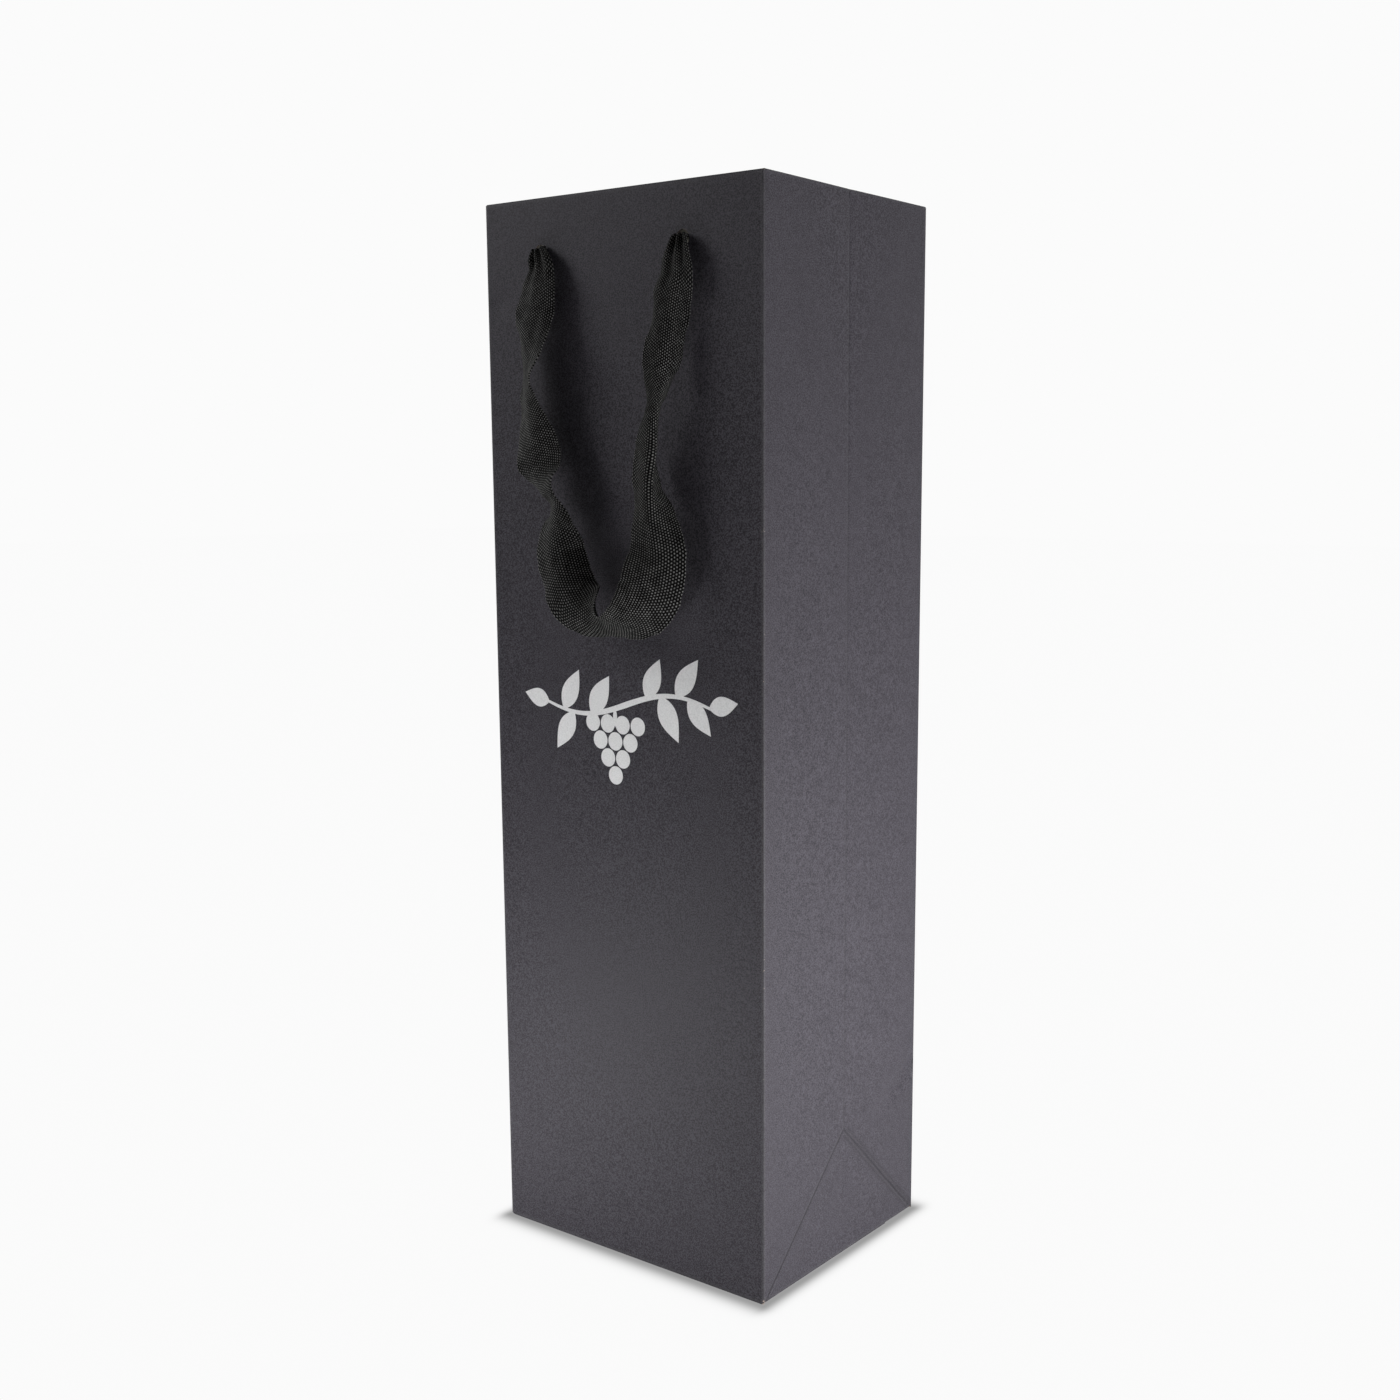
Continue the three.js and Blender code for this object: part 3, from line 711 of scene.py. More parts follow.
def make_middle_panel(hand, way):
    """The middle panel: columns share out the width between the two slanting creases at each height. The
    rows and columns are fine enough at the foot to carry the pressed creases and their painted shade."""
    foot = foot_curl(FOOT_OF_GUSSET)
    z_up = np.concatenate([
        np.linspace(foot[1][-1], APEX + 4 * MM, 80)[1:],
        np.linspace(APEX + 4 * MM, HEIGHT - GUSSET_FOLD, 110)[1:],
    ])
    inset, z, out, up = rise_from(foot, z_up)
    share = np.linspace(-1, 1, 151)
    y_grid = share[None, :] * crease_half(z)[:, None]
    z_grid = np.broadcast_to(z[:, None], y_grid.shape)
    x_grid = way * (HALF_WIDTH - inset[:, None] + gusset_swell(y_grid, z_grid))
    outer = points_at(x_grid, y_grid, z_grid)
    inner = outer - PAPER * points_at(way * out[:, None], 0 * y_grid, up[:, None])
    slope = np.abs((np.abs(y_grid) + z_grid - APEX) / math.sqrt(2)) + ONLY_PAST * (z_grid > APEX)
    middle = np.abs(y_grid) + ONLY_PAST * (z_grid < APEX)
    slope_rub = near(slope - 0.8 * MM, 0.35 * MM) * 0.45
    middle_rub = near(middle, 0.4 * MM) * 0.22
    foot_rub = near(z_grid - FOOT_OF_GUSSET - CORNER, 0.4 * MM) * 0.7
    fold = np.max([slope_rub, middle_rub, foot_rub], axis=0)
    # Painted shade along each slanting crease, a fainter second crease on one side and the middle crease.
    dark = groove(slope, 0.32 * MM)
    dark = dark + 0.6 * groove(slope - SECOND_CREASE, 0.3 * MM) * (y_grid > 0)
    dark = 0.95 * np.clip(dark + 0.35 * groove(middle, 0.3 * MM), 0, 1)
    name = f"{hand}_gusset_sheet"
    piece = sheet_piece(name, outer, inner, (way, 0, 0), fold, PAPER_FINISHES, crease_groove_and_painted_shade=dark)
    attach(piece, f"{hand}_gusset")
    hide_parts(f"{hand}_gusset_center")


def make_long_panel(hand, way, end, side):
    """A long panel: a quarter circle round the bag's upright edge, then flat up to the slanting crease."""
    z = soft_steps(FOOT_OF_GUSSET - 0.2 * MM, HEIGHT - GUSSET_FOLD, 170, 0.4)
    angle = np.linspace(0, np.pi / 2, 7)
    share = np.linspace(0, 1, 40)[1:]
    flat_y = FLAT_DEPTH + (np.minimum(crease_half(z), FLAT_DEPTH)[:, None] - FLAT_DEPTH) * share[None, :]
    round_y = np.broadcast_to(FLAT_DEPTH + CORNER * np.cos(angle), (len(z), len(angle)))
    round_x = np.broadcast_to(FLAT_HALF + CORNER * np.sin(angle), round_y.shape)
    y_grid = side * np.concatenate([round_y, flat_y], axis=1)
    z_grid = np.broadcast_to(z[:, None], y_grid.shape)
    flat_x = HALF_WIDTH + gusset_swell(y_grid[:, len(angle):], z_grid[:, len(angle):])
    x_grid = way * np.concatenate([round_x, flat_x], axis=1)
    outer = points_at(x_grid, y_grid, z_grid)
    turn = np.concatenate([angle, np.full(len(share), np.pi / 2)])[None, :]
    inner = outer - PAPER * points_at(way * np.sin(turn), side * np.cos(turn), 0 * z_grid)
    round_run = np.broadcast_to(CORNER * (angle - np.pi / 4), round_y.shape)
    flat_run = CORNER * 0.8 + FLAT_DEPTH - flat_y  # 0.8 is about half a quarter circle's length
    run = np.concatenate([round_run, flat_run], axis=1)  # the way from the middle of the round
    upright = near(np.maximum(np.abs(run) - 0.35 * MM, 0), 0.28 * MM)
    top = near(HEIGHT - GUSSET_FOLD - z_grid, 0.3 * MM) * 0.5
    ends = near(z_grid - FOOT_OF_GUSSET, 1.6 * MM) * upright
    fold = np.clip(np.maximum(upright * 0.92, top) + 0.35 * ends, 0, 1.2)
    piece = sheet_piece(f"{hand}_{end}_fold_sheet", outer, inner, (way, 0, 0), fold, PAPER_FINISHES)
    bend_long_panel(piece)
    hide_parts(f"{hand}_{end}_fold")


THIN_HEM = 0.8 * PAPER


def bend_long_panel(piece):
    """Bakes the piece's placement into its mesh."""
    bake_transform(piece)


def make_long_hem(hand, way, end, side):
    """The thin cane along a long panel's top, its inner edge on the slanting crease."""
    inset, z, out, up = cane(HEIGHT, GUSSET_FOLD, HEM_FOOT)
    share = np.linspace(0, 1, 24)
    low_y = np.where(out < -0.99, FLAT_DEPTH - 1.2 * MM, FLAT_DEPTH)  # the leg stays clear of the corner
    y_grid = side * (low_y[:, None] + (crease_half(z) - low_y)[:, None] * share[None, :])
    z_grid = np.broadcast_to(z[:, None], y_grid.shape)
    x_grid = way * (HALF_WIDTH - inset[:, None] + gusset_swell(y_grid, z_grid))
    outer = points_at(x_grid, y_grid, z_grid)
    inner = outer - THIN_HEM * points_at(way * out[:, None], 0 * y_grid, up[:, None])
    fold = near(z_grid - HEIGHT, 0.35 * MM) * 0.8
    name = f"{hand}_{end}_fold_hem_sheet"
    piece = sheet_piece(name, outer, inner, (-way, 0, 0), fold, PAPER_FINISHES)
    bend_long_panel(piece)
    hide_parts(f"{hand}_{end}_fold_hem")


for hand, way in HANDS:
    make_middle_panel(hand, way)
    for end, side in SIDES:
        make_long_panel(hand, way, end, side)
        make_long_hem(hand, way, end, side)

# %% [markdown]
# ## Base
# The foot of the sheet is cut into four flaps. The side ones fold in first, then the back one, and the front
# one is glued over them. A card lies loose inside to stiffen the floor. Flat sheets are never quite flat, so
# the card gets a slight wave; the flaps lie flat.

# %% Base sheets
FLAP_TUCK = 0.3 * MM  # the lying sheets stop this far inside the walls' faces
FLAP_INSET = 1.1 * MM  # and the two wide flaps this far inside the gussets' faces


def make_flat_sheet(name, outline, level, thickness, wave, replaced, materials, face_up=False):
    """A lying sheet between a left and a right edge: `outline` gives the two x values for an array of y. Its
    wave is a product of a sine across and a cosine along, from 0 to the size `wave`."""
    low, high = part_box(replaced)
    y = np.linspace(low.y + FLAP_TUCK, high.y - FLAP_TUCK, 40)
    left, right = outline(y)
    x_grid = left[:, None] + (right - left)[:, None] * np.linspace(0, 1, 50)[None, :]
    y_grid = np.broadcast_to(y[:, None], x_grid.shape)
    lift = wave * (1 + np.sin(x_grid / (17 * MM)) * np.cos(y_grid / (21 * MM) + 0.6)) / 2
    lower = np.stack([x_grid, y_grid, level + lift], axis=-1)
    upper = lower + np.array([0, 0, thickness])
    edge = np.minimum(y_grid - low.y, high.y - y_grid)
    fold = near(edge, 0.4 * MM) * 0.5
    outer, inner, facing = (upper, lower, (0, 0, 1)) if face_up else (lower, upper, (0, 0, -1))
    piece = sheet_piece(name, outer, inner, facing, fold, materials)
    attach(piece, "base")
    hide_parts(replaced)


FLAP_FINISHES = (PRINTED, INSIDE, PRINTED)  # a flap starts at a fold, so its rim is mostly printed


def straight_sides(half):
    """An outline with both edges straight, half the width either side of the middle."""
    return lambda y: (np.full(len(y), -half), np.full(len(y), half))


def mitred_side(way):
    """A side flap's outline: its outer edge is straight and its inner one is cut back at 45 degrees."""
    low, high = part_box("base_right_flap" if way > 0 else "base_left_flap")
    reach = high.x - low.x
    half = high.y

    def edges(y):
        depth = np.minimum(half - np.abs(y), reach) + 0.2 * MM
        outer = np.full(len(y), FLAT_HALF)
        inner = FLAT_HALF - depth
        return (inner, outer) if way > 0 else (-outer, -inner)

    return edges


wide_flap = straight_sides(HALF_WIDTH - FLAP_INSET)
for flap, outline, level in (
    ("base_front_flap", wide_flap, 0.0),
    ("base_back_flap", wide_flap, LAYER),
    ("base_left_flap", mitred_side(-1), 2 * LAYER),
    ("base_right_flap", mitred_side(1), 2 * LAYER),
):
    make_flat_sheet(
        f"{flap}_sheet", outline, level, PAPER, 0.0, flap, FLAP_FINISHES
    )
card_low, card_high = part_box("base_card")
make_flat_sheet(
    "base_card_board", straight_sides(card_high.x), card_low.z, 1.1 * MM, 0.5 * MM,
    "base_card", (GREY_BOARD, GREY_BOARD, GREY_BOARD), face_up=True,
)

# %% [markdown]
# Five small sheets are hidden by others almost everywhere: the two strips of card, the glue tab, whose
# unprinted side shows, and the two points of the gussets' hems. The frame's own solids are right for them, so
# they only get a finish.

# %% Finishes for the frame's own sheets
def set_finish(node, material):
    """Gives a CAD node one material."""
    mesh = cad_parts[node].data
    mesh.materials.clear()
    mesh.materials.append(material)


for node in ("front_stiffener", "back_stiffener"):
    set_finish(node, GREY_BOARD)
for node in ("left_gusset_center_hem", "right_gusset_center_hem"):
    set_finish(node, PRINTED)
set_finish("seam_tab", INSIDE)

# %% [markdown]
# ## Print
# The decoration is a vine sprig: a stem, pointed leaves and a bunch of grapes. Each shape is a small grid on
# the wall's own swelling surface, a fraction of a millimetre proud, as a thick screen-printed ink would be.

# %% Sprig
print_low, print_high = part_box("front_print")
SPRIG_X, SPRIG_Z = 2 * MM, 188 * MM
STEM_HALF = 37 * MM
INK_LIFT = 0.06 * MM
INK_STEP = 0.002 * MM  # each shape lies this much above the one before


def stem_height(u):
    """The stem's line: a shallow sine along its length."""
    return 13 * MM + 4.5 * MM * np.sin(u / STEM_HALF * np.pi * 0.9)


def leaf(root, angle, length, width):
    """A leaf: across it a share from -1 to 1, along it a reach, and its half width a sine of the reach to
    the power 0.8, so that it is fullest near its root."""
    along, across = np.meshgrid(np.linspace(0, 1, 25), np.linspace(-1, 1, 9), indexing="ij")
    reach = along * length
    wide = across * width * np.sin(np.pi * along**0.8) / 2
    u = root + reach * np.cos(angle) - wide * np.sin(angle)
    v = stem_height(root) + reach * np.sin(angle) + wide * np.cos(angle)
    return u, v


def grape(u, v, radius):
    """A disc: rings of growing radius round a centre."""
    ring, turn = np.meshgrid(np.linspace(0, 1, 5), np.linspace(0, 2 * np.pi, 33), indexing="ij")
    return u + radius * ring * np.cos(turn), v + radius * ring * np.sin(turn)


def stem():
    """A ribbon along the stem's line that thins towards both ends."""
    along, across = np.meshgrid(np.linspace(-STEM_HALF, STEM_HALF, 60), np.linspace(-1, 1, 4), indexing="ij")
    half = 1.1 * MM * (1 - 0.55 * np.abs(along / STEM_HALF))
    return along, stem_height(along) + across * half


# where it leaves the stem (mm), its direction (degrees), length and width (mm); the last is the bunch's stalk
LEAVES = (
    (-36, 168, 12, 6.5), (-29, 62, 16, 7.5), (-24, -122, 16, 7.5), (-16, 58, 16, 8), (15, -62, 17, 8),
    (9, 66, 15, 7.5), (22, 54, 16, 7.5), (27, -50, 15, 7), (36, 12, 12, 6.5),
    (-5, -90, 6.5, 1.8),
)
shapes = [stem()]
for root, angle, length, width in LEAVES:
    shapes.append(leaf(root * MM, math.radians(angle), length * MM, width * MM))
GRAPE_PITCH = 6.8 * MM
GRAPE_HALF = 3.2 * MM
TOP_GRAPES = 5.9 * MM
for row in range(4):
    for i in range(4 - row):
        u = (i - (3 - row) / 2) * GRAPE_PITCH - 5 * MM
        shapes.append(grape(u, TOP_GRAPES - row * GRAPE_PITCH * 0.87, GRAPE_HALF))

ink_points, ink_faces, used = [], [], 0
for number, (u, v) in enumerate(shapes):
    x, z = u + SPRIG_X, v + SPRIG_Z
    y = -(HALF_DEPTH + wall_swell(x, z) + INK_LIFT + number * INK_STEP)
    points = points_at(x, y, z).reshape(-1, 3)
    ink_points.append(points)
    ink_faces.append(turned_to(cells(*x.shape), points, (0, -1, 0)) + used)
    used += x.size
sprig = finish_mesh("vine_sprig", np.concatenate(ink_points), np.concatenate(ink_faces), (PALE_INK,))
weld(sprig)
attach(sprig, "front_wall")
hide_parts("front_print")
print("sprig", len(shapes), "shapes inside", print_low, print_high)

# %% [markdown]
# ## Ribbon handles
# A soft ribbon pushed through a hole comes out in pleats, opens flat, rolls into a trough and twists as it
# hangs. Its route is a list of places along its middle line. At each one it has a width, and a turn about its
# own length for its outer half and for its inner half: where the two differ it is folded or cupped, sharply
# at a small softness and roundly at a large one. Smooth curves through those columns carry the section from
# one hole to the other. The strap is modelled as it hangs, with no cloth simulation, because its folds are
# few and large, and a simulated one would fall differently.

# %% Ribbon surface
RIBBON_THICK = 0.5 * MM
RIBBON_WIDE = 20 * MM
# x, out from the wall, down from the holes and width (mm), turn of the outer and of the inner half (degrees),
# softness
RIBBON_ROUTE = np.array([
    [-33.4, -0.6, -0.6, 4.6, 0, 0, 1],
    [-33.4, 1.6, -0.9, 5.2, 0, 0, 1],
    [-32.6, 3.0, 1.4, 8.0, 0, 0, 1],
    [-30.8, 4.6, 5.8, 12.0, 20, -12, 1],
    [-31.2, 6.0, 13.0, 16.5, 24, -12, 1],
    [-32.4, 7.2, 24.0, 17.5, 22, -8, 0.8],
    [-33.2, 8.4, 34.0, 16.0, 38, 8, 0.6],
    [-34.2, 8.8, 43.5, 12.5, 50, 26, 0.5],
    [-33.2, 9.2, 52.0, 15.5, 34, 16, 0.6],
    [-29.0, 9.8, 66.0, 20.0, 15, -18, 1],
    [-26.0, 10.8, 74.0, 18.0, 38, -18, 0.6],
    [-23.4, 12.8, 79.0, 14.5, 62, 6, 0.5],
    [-21.4, 10.8, 83.0, 10.5, 62, 24, 0.5],
    [-20.0, 11.4, 87.0, 14.0, 44, 4, 0.4],
    [-19.0, 12.2, 93.5, 19.0, 26, -16, 0.4],
    [-17.4, 12.6, 101.0, 20.0, 14, -52, 0.4],
    [-12.8, 13.0, 111.0, 20.0, 8, -48, 0.5],
    [-8.2, 13.1, 116.6, 20.0, 16, -38, 0.5],
    [-1.0, 13.3, 121.4, 17.0, 42, 4, 0.7],
    [6.8, 13.4, 123.2, 15.0, 60, 52, 1],
    [15.4, 13.2, 121.2, 18.0, 54, 42, 1],
    [22.4, 12.8, 113.6, 21.0, 36, 26, 0.8],
    [25.4, 12.4, 101.0, 20.5, 42, 6, 0.2],
    [23.4, 12.0, 88.0, 19.0, 64, -14, 0.12],
    [22.6, 11.4, 77.0, 19.0, 116, -22, 0.12],
    [24.0, 10.8, 66.0, 20.0, 150, -24, 0.2],
    [23.8, 10.2, 57.5, 15.0, 150, -28, 0.3],
    [24.2, 9.6, 49.5, 9.5, 120, -30, 0.4],
    [26.2, 8.8, 39.0, 14.5, 84, -8, 0.4],
    [26.8, 7.6, 28.0, 14.5, 72, -18, 0.5],
    [27.9, 6.6, 18.5, 14.0, 50, -8, 0.6],
    [29.2, 5.8, 12.0, 13.0, 22, -14, 0.8],
    [28.8, 4.6, 6.0, 11.0, 8, -8, 1],
    [28.4, 3.0, 1.4, 8.0, 0, 0, 1],
    [28.2, 1.6, -0.9, 5.2, 0, 0, 1],
    [28.2, -0.6, -0.6, 4.6, 0, 0, 1],
])
# Small waves along the ribbon, each a size (mm), a wavelength over two pi (mm) and a start (radians)
FLUTTER_INNER = ((0.7, 5.3, 0.0), (0.3, 2.3, 1.0))  # out of its plane at one selvedge
FLUTTER_OUTER = ((0.65, 4.1, 2.0), (0.3, 1.9, 0.0))  # and at the other
RIPPLE = 0.3 * MM  # across its whole width
FRAY = 0.22 * MM  # in its plane, at both selvedges
PLEAT = 1.6 * MM  # near the holes, where it is gathered
WALL_GAP = 0.9 * MM  # its middle layer stays this far off the wall


def smooth_columns(rows, at):
    """Catmull-Rom curves through every column of a table, at places counted in rows."""
    first = np.clip(np.floor(at).astype(int), 0, len(rows) - 2)
    s = (at - first)[:, None]
    a, b, c, d = (rows[np.clip(first + k, 0, len(rows) - 1)] for k in (-1, 0, 1, 2))
    return 0.5 * (2 * b + (c - a) * s + (2 * a - 5 * b + 4 * c - d) * s**2 + (3 * b - a - 3 * c + d) * s**3)


def make_strip(name, layers, u, v, flip):
    """A thin strip of ribbon from the grids of its two faces, with its cloth map in metres on both."""
    front = cells(*u.shape)
    faces = shell_faces(front[:, ::-1] if flip else front, u.size)
    points = np.concatenate([layer.reshape(-1, 3) for layer in layers])
    cloth = np.tile(np.stack([u, v], axis=-1).reshape(-1, 2), (2, 1))
    return finish_mesh(name, points, faces, (RIBBON,), uv=cloth)


def ribbon_frame():
    """The middle line in metres and, at each place, the unit vectors along it and to the loop's inside."""
    at = np.linspace(0, len(RIBBON_ROUTE) - 1, 560)
    rows = smooth_columns(RIBBON_ROUTE, at)
    centre = np.stack([rows[:, 0] * MM, -HALF_DEPTH - rows[:, 1] * MM, HOLE_Z - rows[:, 2] * MM], axis=-1)
    along = np.gradient(centre, axis=0)
    along /= np.linalg.norm(along, axis=1, keepdims=True)
    inward = np.stack([-along[:, 2], 0 * along[:, 0], along[:, 0]], axis=-1)
    length = np.linalg.norm(inward, axis=1, keepdims=True)
    first = np.array([[1.0, 0.0, 0.0]]) * np.where(at < len(RIBBON_ROUTE) / 2, 1, -1)[:, None]
    inward = np.where(length > 0.25, inward / np.maximum(length, 1e-6), first)
    return centre, along, inward, rows


def ribbon_section(rows, inward, share):
    """The section at each place: its slope goes from the outer half's turn to the inner half's turn, quickly
    where the ribbon is folded lengthwise and slowly where it is only cupped. The running sum of the slopes is
    the section's line, and a cosine across it gives the pleats."""
    soft = rows[:, 6:7]
    bend = 0.5 + 0.5 * np.tanh(share[None, :] / soft) / np.tanh(1 / soft)
    turn = np.radians(rows[:, 4:5] + (rows[:, 5:6] - rows[:, 4:5]) * bend)
    step = rows[:, 3:4] * MM * (share[1] - share[0]) / 2
    sideways = np.cumsum(np.cos(turn) * step, axis=1)
    outward = np.cumsum(np.sin(turn) * step, axis=1)
    middle = len(share) // 2
    sideways, outward = (line - line[:, middle : middle + 1] for line in (sideways, outward))
    gather = np.clip((RIBBON_WIDE - rows[:, 3:4] * MM) / RIBBON_WIDE, 0, 1) ** 1.2
    top = 1 - np.clip(rows[:, 2:3] / 40, 0, 1)
    pleat = PLEAT * gather * top * np.cos(share[None, :] * np.pi * 2.6 + 0.7)
    return inward[:, None] * sideways[..., None] - np.array([0.0, 1.0, 0.0]) * (outward + pleat)[..., None]


def unit(vectors):
    """Vectors brought to length 1."""
    return vectors / np.maximum(np.linalg.norm(vectors, axis=-1, keepdims=True), 1e-9)


def flutter(run, waves):
    """A sum of sines along the ribbon, as a column."""
    return sum(size * np.sin(run / (length * MM) + start) for size, length, start in waves)[:, None]


def make_ribbon_handle(end, side):
    """Sweeps the section along the route, with an uneven flutter at both selvedges, and makes it thick."""
    centre, along, inward, rows = ribbon_frame()
    share = np.linspace(-1, 1, 49)
    points = centre[:, None] + ribbon_section(rows, inward, share)
    steps = np.linalg.norm(np.diff(centre, axis=0), axis=1)
    run = np.concatenate([[0], np.cumsum(steps)])
    calm = np.clip(rows[:, 2:3] / 20, 0, 1)
    near_edge = np.maximum(share, 0)[None, :] ** 4
    far_edge = np.maximum(-share, 0)[None, :] ** 4
    edges = flutter(run, FLUTTER_INNER) * near_edge + flutter(run, FLUTTER_OUTER) * far_edge
    ripple = RIPPLE * np.sin(run / (7.7 * MM))[:, None] * np.sin(share * 4.0 + 0.6)[None, :]
    out = unit(np.cross(along[:, None], np.gradient(points, axis=1)))
    points = points + out * ((MM * edges + ripple) * calm)[..., None]
    frayed = FRAY * np.sin(run / (0.9 * MM)) * np.sin(run / (3.7 * MM) + 0.5)
    points = points + inward[:, None] * (frayed[:, None] * (near_edge - far_edge) * calm)[..., None]
    # Only the hanging part is kept off the wall: near the holes the ribbon goes through it.
    nearest = -HALF_DEPTH - np.where(calm > 0.05, WALL_GAP, -1.0)
    points[..., 1] = np.minimum(points[..., 1], nearest)
    normal = unit(np.cross(np.gradient(points, axis=0), np.gradient(points, axis=1)))
    if side > 0:
        points, normal = (grid * np.array([-1, -1, 1]) for grid in (points, normal))
    layers = [points + normal * RIBBON_THICK / 2, points - normal * RIBBON_THICK / 2]
    u, v = np.broadcast_arrays(run[:, None], share[None, :] * RIBBON_WIDE / 2)
    piece = make_strip(f"{end}_ribbon", layers, u, v, flip=True)
    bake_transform(piece)
    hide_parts(f"{end}_handle")


for end, side in SIDES:
    make_ribbon_handle(end, side)

# %% [markdown]
# ## Knots
# Inside the bag each ribbon end is tied in an overhand knot. Its shape is the trefoil: a line that goes round
# twice while it passes over itself three times. A flattened tube along that line reads as a tied ribbon.

# %% Knots
KNOT_SIZE = 1.30 * MM
KNOT_DEEP = 5.4 * MM  # from the wall's face to the knot's middle


def tube_along(line, half_wide, half_thick):
    """A tube with an oval section along a closed line: at each place a circle's cosine, times the half width,
    goes sideways, and its sine, times the half thickness, goes away from the line's middle."""
    loop = line[:-1]
    along = np.roll(loop, -1, axis=0) - np.roll(loop, 1, axis=0)
    along = np.concatenate([along, along[:1]])
    along = unit(along)
    out = line - line.mean(axis=0)
    out = unit(out - along * np.sum(out * along, axis=1, keepdims=True))
    beside = np.cross(along, out)
    turn = np.linspace(0, 2 * np.pi, 13)
    wide, thick = half_wide * np.cos(turn)[None, :, None], half_thick * np.sin(turn)[None, :, None]
    return line[:, None] + beside[:, None] * wide + out[:, None] * thick


def make_knot(name, x, y, z):
    """A trefoil seen from inside the bag: sines and cosines of once and twice the angle go round, and a sine
    of three times the angle goes in and out."""
    t = np.linspace(0, 2 * np.pi, 121)
    trefoil = [np.sin(t) + 2 * np.sin(2 * t), -0.9 * np.sin(3 * t), np.cos(t) - 2 * np.cos(2 * t)]
    grid = tube_along(np.stack(trefoil, axis=-1) * KNOT_SIZE, 1.75 * MM, 0.95 * MM)
    points = (grid + np.array([x, y, z])).reshape(-1, 3)
    run, around = np.linspace(0, 75 * MM, len(t)), np.linspace(0, 9 * MM, grid.shape[1])
    cloth = np.stack(np.meshgrid(run, around, indexing="ij"), axis=-1).reshape(-1, 2)
    knot = finish_mesh(name, points, cells(*grid.shape[:2]), (RIBBON,), uv=cloth)
    weld(knot, outwards=True)
    return knot


for end, side in SIDES:
    for hand, (x, z) in zip(("left", "right"), hole_centres):
        knot = make_knot(f"{end}_{hand}_tied_knot", -side * x, side * (HALF_DEPTH - KNOT_DEEP), z)
        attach(knot, f"{end}_wall")
        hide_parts(f"{end}_{hand}_knot")

# %% [markdown]
# ## Cut ends
# Below each knot hangs the ribbon's cut end: a short strip, a little curled, its end cut aslant.

# %% Ribbon ends
TAIL_HALF = 5.0 * MM


def make_tail(end, side, hand):
    """A strip that hangs from a knot: it narrows into the knot at its top and curls slightly at its foot."""
    low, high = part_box(f"{end}_{hand}_tail")
    down, across = np.meshgrid(np.linspace(0, 1, 40), np.linspace(-1, 1, 15), indexing="ij")
    half = TAIL_HALF * (0.45 + 0.55 * np.clip(down * 3, 0, 1))
    top = high.z + 3.5 * MM
    x = (low.x + high.x) / 2 + across * half + 0.6 * MM * np.sin(down * 4)
    z = top - down * (top - low.z) + across * 1.4 * MM * down**4
    middle = (low.y + high.y) / 2
    bow = 0.9 * MM * np.sin(down * 5 + 0.5) + 0.5 * MM * (1 - across**2)
    y = middle - side * bow * 0.6
    face = points_at(x, y, z)
    layers = [face, face + np.array([0, side * RIBBON_THICK, 0])]
    name = f"{end}_{hand}_ribbon_end"
    piece = make_strip(name, layers, down * 26 * MM, across * TAIL_HALF, flip=side > 0)
    sharpen(piece)
    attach(piece, f"{end}_wall")
    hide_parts(f"{end}_{hand}_tail")


for end, side in SIDES:
    for hand in ("left", "right"):
        make_tail(end, side, hand)

# %% [markdown]
# ## Floor
# A white table, as for a catalogue picture. So that no edge of it shows, the camera sees an even glow instead
# of the lit table, with a painted shadow that darkens it close round the bag's foot. Light that bounces off
# it meets a plain pale tone.

# %% Floor
ROOM_SEEN = 0.965  # how bright the backdrop looks
ROOM_LIGHT = 0.09  # how strongly it lights the bag
TABLE_SEEN = ROOM_SEEN - 0.004
TABLE_LIGHT = 0.05
FLOOR_TONE = (0.75, 0.75, 0.75, 1.0)  # for the light that bounces off the table
FLOOR_SEEN = (0.0, 0.0, 0.0, 1.0)  # for the camera, which sees only the glow
FLOOR_HALF = 6.0
FLOOR_DROP = 0.2 * MM
# A painted shadow round the bag's foot: how dark it gets and how far it reaches.
PAINTED_SHADOW_DARK = 0.65
PAINTED_SHADOW_REACH = (3.5 * MM, 5.3 * MM)  # beside the bag, in front of it


def painted_contact_shadow(tree, place):
    """A painted shadow: 1 far from the bag's foot and darker near it, a bell curve of the distance to the
    foot's outline.
    """
    spot = put(tree, "ShaderNodeSeparateXYZ", {0: place})
    squares = []
    for axis, half, reach in zip((0, 1), (HALF_WIDTH, HALF_DEPTH), PAINTED_SHADOW_REACH):
        beyond = calc(tree, "SUBTRACT", calc(tree, "ABSOLUTE", spot.outputs[axis]), half)
        share = calc(tree, "DIVIDE", calc(tree, "MAXIMUM", beyond, 0.0), reach)
        squares.append(calc(tree, "MULTIPLY", share, share))
    fall = calc(tree, "POWER", math.e, calc(tree, "MULTIPLY", calc(tree, "ADD", *squares), -1.0))
    return calc(tree, "SUBTRACT", 1.0, calc(tree, "MULTIPLY", fall, PAINTED_SHADOW_DARK))


def make_floor():
    """A white ground that is much larger than the view."""
    corners = [(x * FLOOR_HALF, y * FLOOR_HALF, 0) for x, y in ((-1, -1), (1, -1), (1, 1), (-1, 1))]
    mesh = bpy.data.meshes.new("floor")
    mesh.from_pydata(corners, [], [(0, 1, 2, 3)])
    floor = bpy.data.objects.new("floor", mesh)
    bpy.context.scene.collection.objects.link(floor)
    material, tree, shader, place = new_material("white_table", roughness=0.9, specular=0.0)
    shader.inputs["Emission Color"].default_value = (1.0, 1.0, 1.0, 1.0)
    seen = put(tree, "ShaderNodeLightPath").outputs["Is Camera Ray"]
    tone = mix_colour(tree, seen, FLOOR_TONE, FLOOR_SEEN)
    tree.links.new(tone, shader.inputs["Base Color"])
    glow = remap(tree, seen, 0.0, 1.0, TABLE_LIGHT, TABLE_SEEN)
    # Painted shadow: the glow is darkened round the bag's foot.
    shaded = calc(tree, "MULTIPLY", glow, painted_contact_shadow(tree, place))
    tree.links.new(shaded, shader.inputs["Emission Strength"])
    mesh.materials.append(material)
    return floor


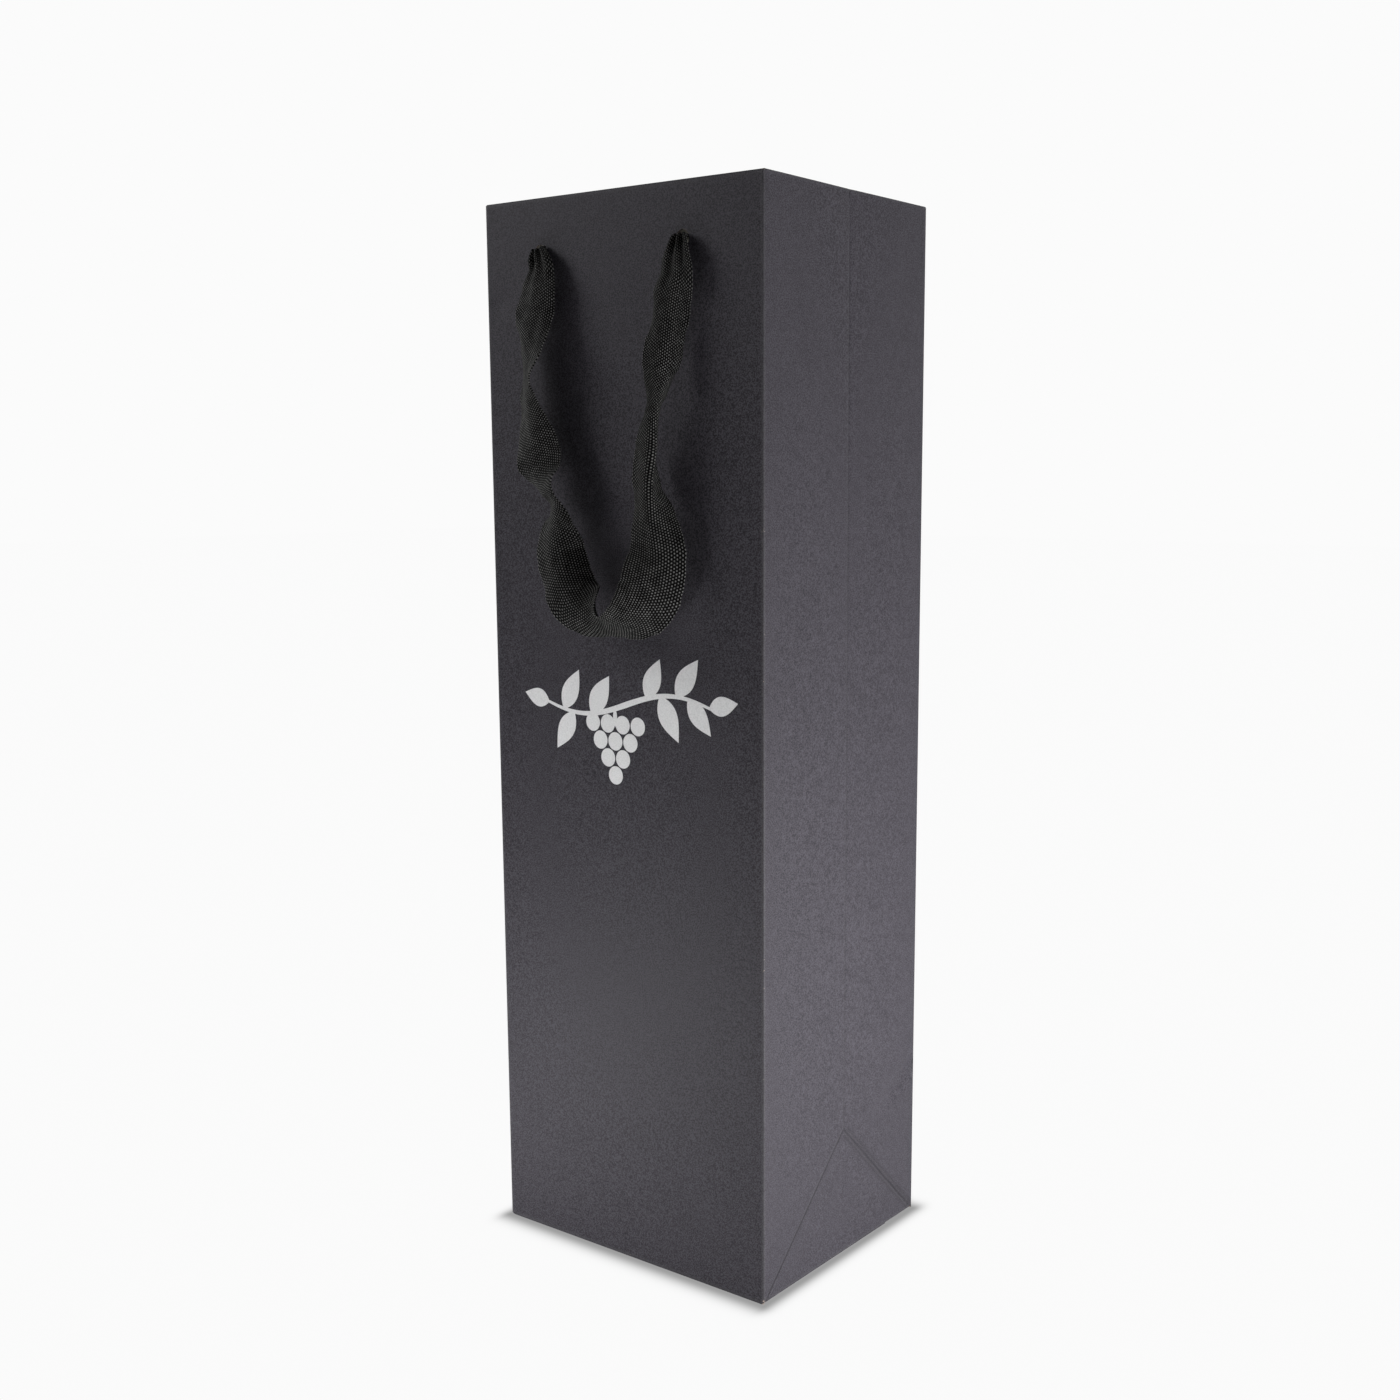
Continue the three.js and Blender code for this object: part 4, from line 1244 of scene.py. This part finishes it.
floor = make_floor()
floor.location.z = -FLOOR_DROP

# %% [markdown]
# ## Light
# Six soft square lamps. The key lamp stands front left, high enough for the ribbon to shade the wall to its
# right and below. One broad lamp lights the right gusset from above, the back and left lamps keep the hidden
# sides readable, and two small low ones lift the foot of the front and of the gusset.

# %% Lights
def area_light(name, place, target, size, power):
    """A square lamp at a place, aimed at a point."""
    data = bpy.data.lights.new(name, "AREA")
    data.size = size
    data.energy = power
    lamp = bpy.data.objects.new(name, data)
    bpy.context.scene.collection.objects.link(lamp)
    aim = Vector(target) - Vector(place)
    lamp.visible_camera = False
    lamp.matrix_world = Matrix.Translation(place) @ aim.to_track_quat("-Z", "Y").to_matrix().to_4x4()


# name, place, the point it is aimed at, the length of its side (m), its power (W)
LAMPS = (
    ("key_lamp", (-0.56, -0.36, 0.64), (0.0, 0.0, 0.38), 0.34, 3.0),
    ("low_front_lamp", (-0.10, -0.21, 0.012), (0.0, -0.05, 0.012), 0.10, 0.5),
    ("back_lamp", (-0.1, 1.1, 0.62), (-0.05, 0.05, 0.2), 0.8, 11.0),
    ("left_lamp", (-1.1, 0.22, 0.5), (-0.06, 0.05, 0.2), 0.7, 9.0),
    ("gusset_lamp", (1.25, 0.03, 0.68), (0.05, 0.0, 0.34), 0.7, 8.4),
    ("low_gusset_lamp", (0.33, 0.0, 0.05), (0.06, 0.0, 0.05), 0.2, 2.0),
)
for lamp_row in LAMPS:
    area_light(*lamp_row)
print(len(LAMPS), "lamps")

# The camera sees the room a little under white, and a dimmer one lights the bag, so that the lamps shape it.
world = bpy.data.worlds.new("white_room")
world.use_nodes = True
room = world.node_tree
backdrop = room.nodes["Background"]
ray = put(room, "ShaderNodeLightPath").outputs["Is Camera Ray"]
room.links.new(remap(room, ray, 0.0, 1.0, ROOM_LIGHT, ROOM_SEEN), backdrop.inputs["Strength"])
backdrop.inputs["Color"].default_value = (1.0, 1.0, 1.0, 1.0)
bpy.context.scene.world = world
bpy.context.scene.view_settings.view_transform = "Standard"
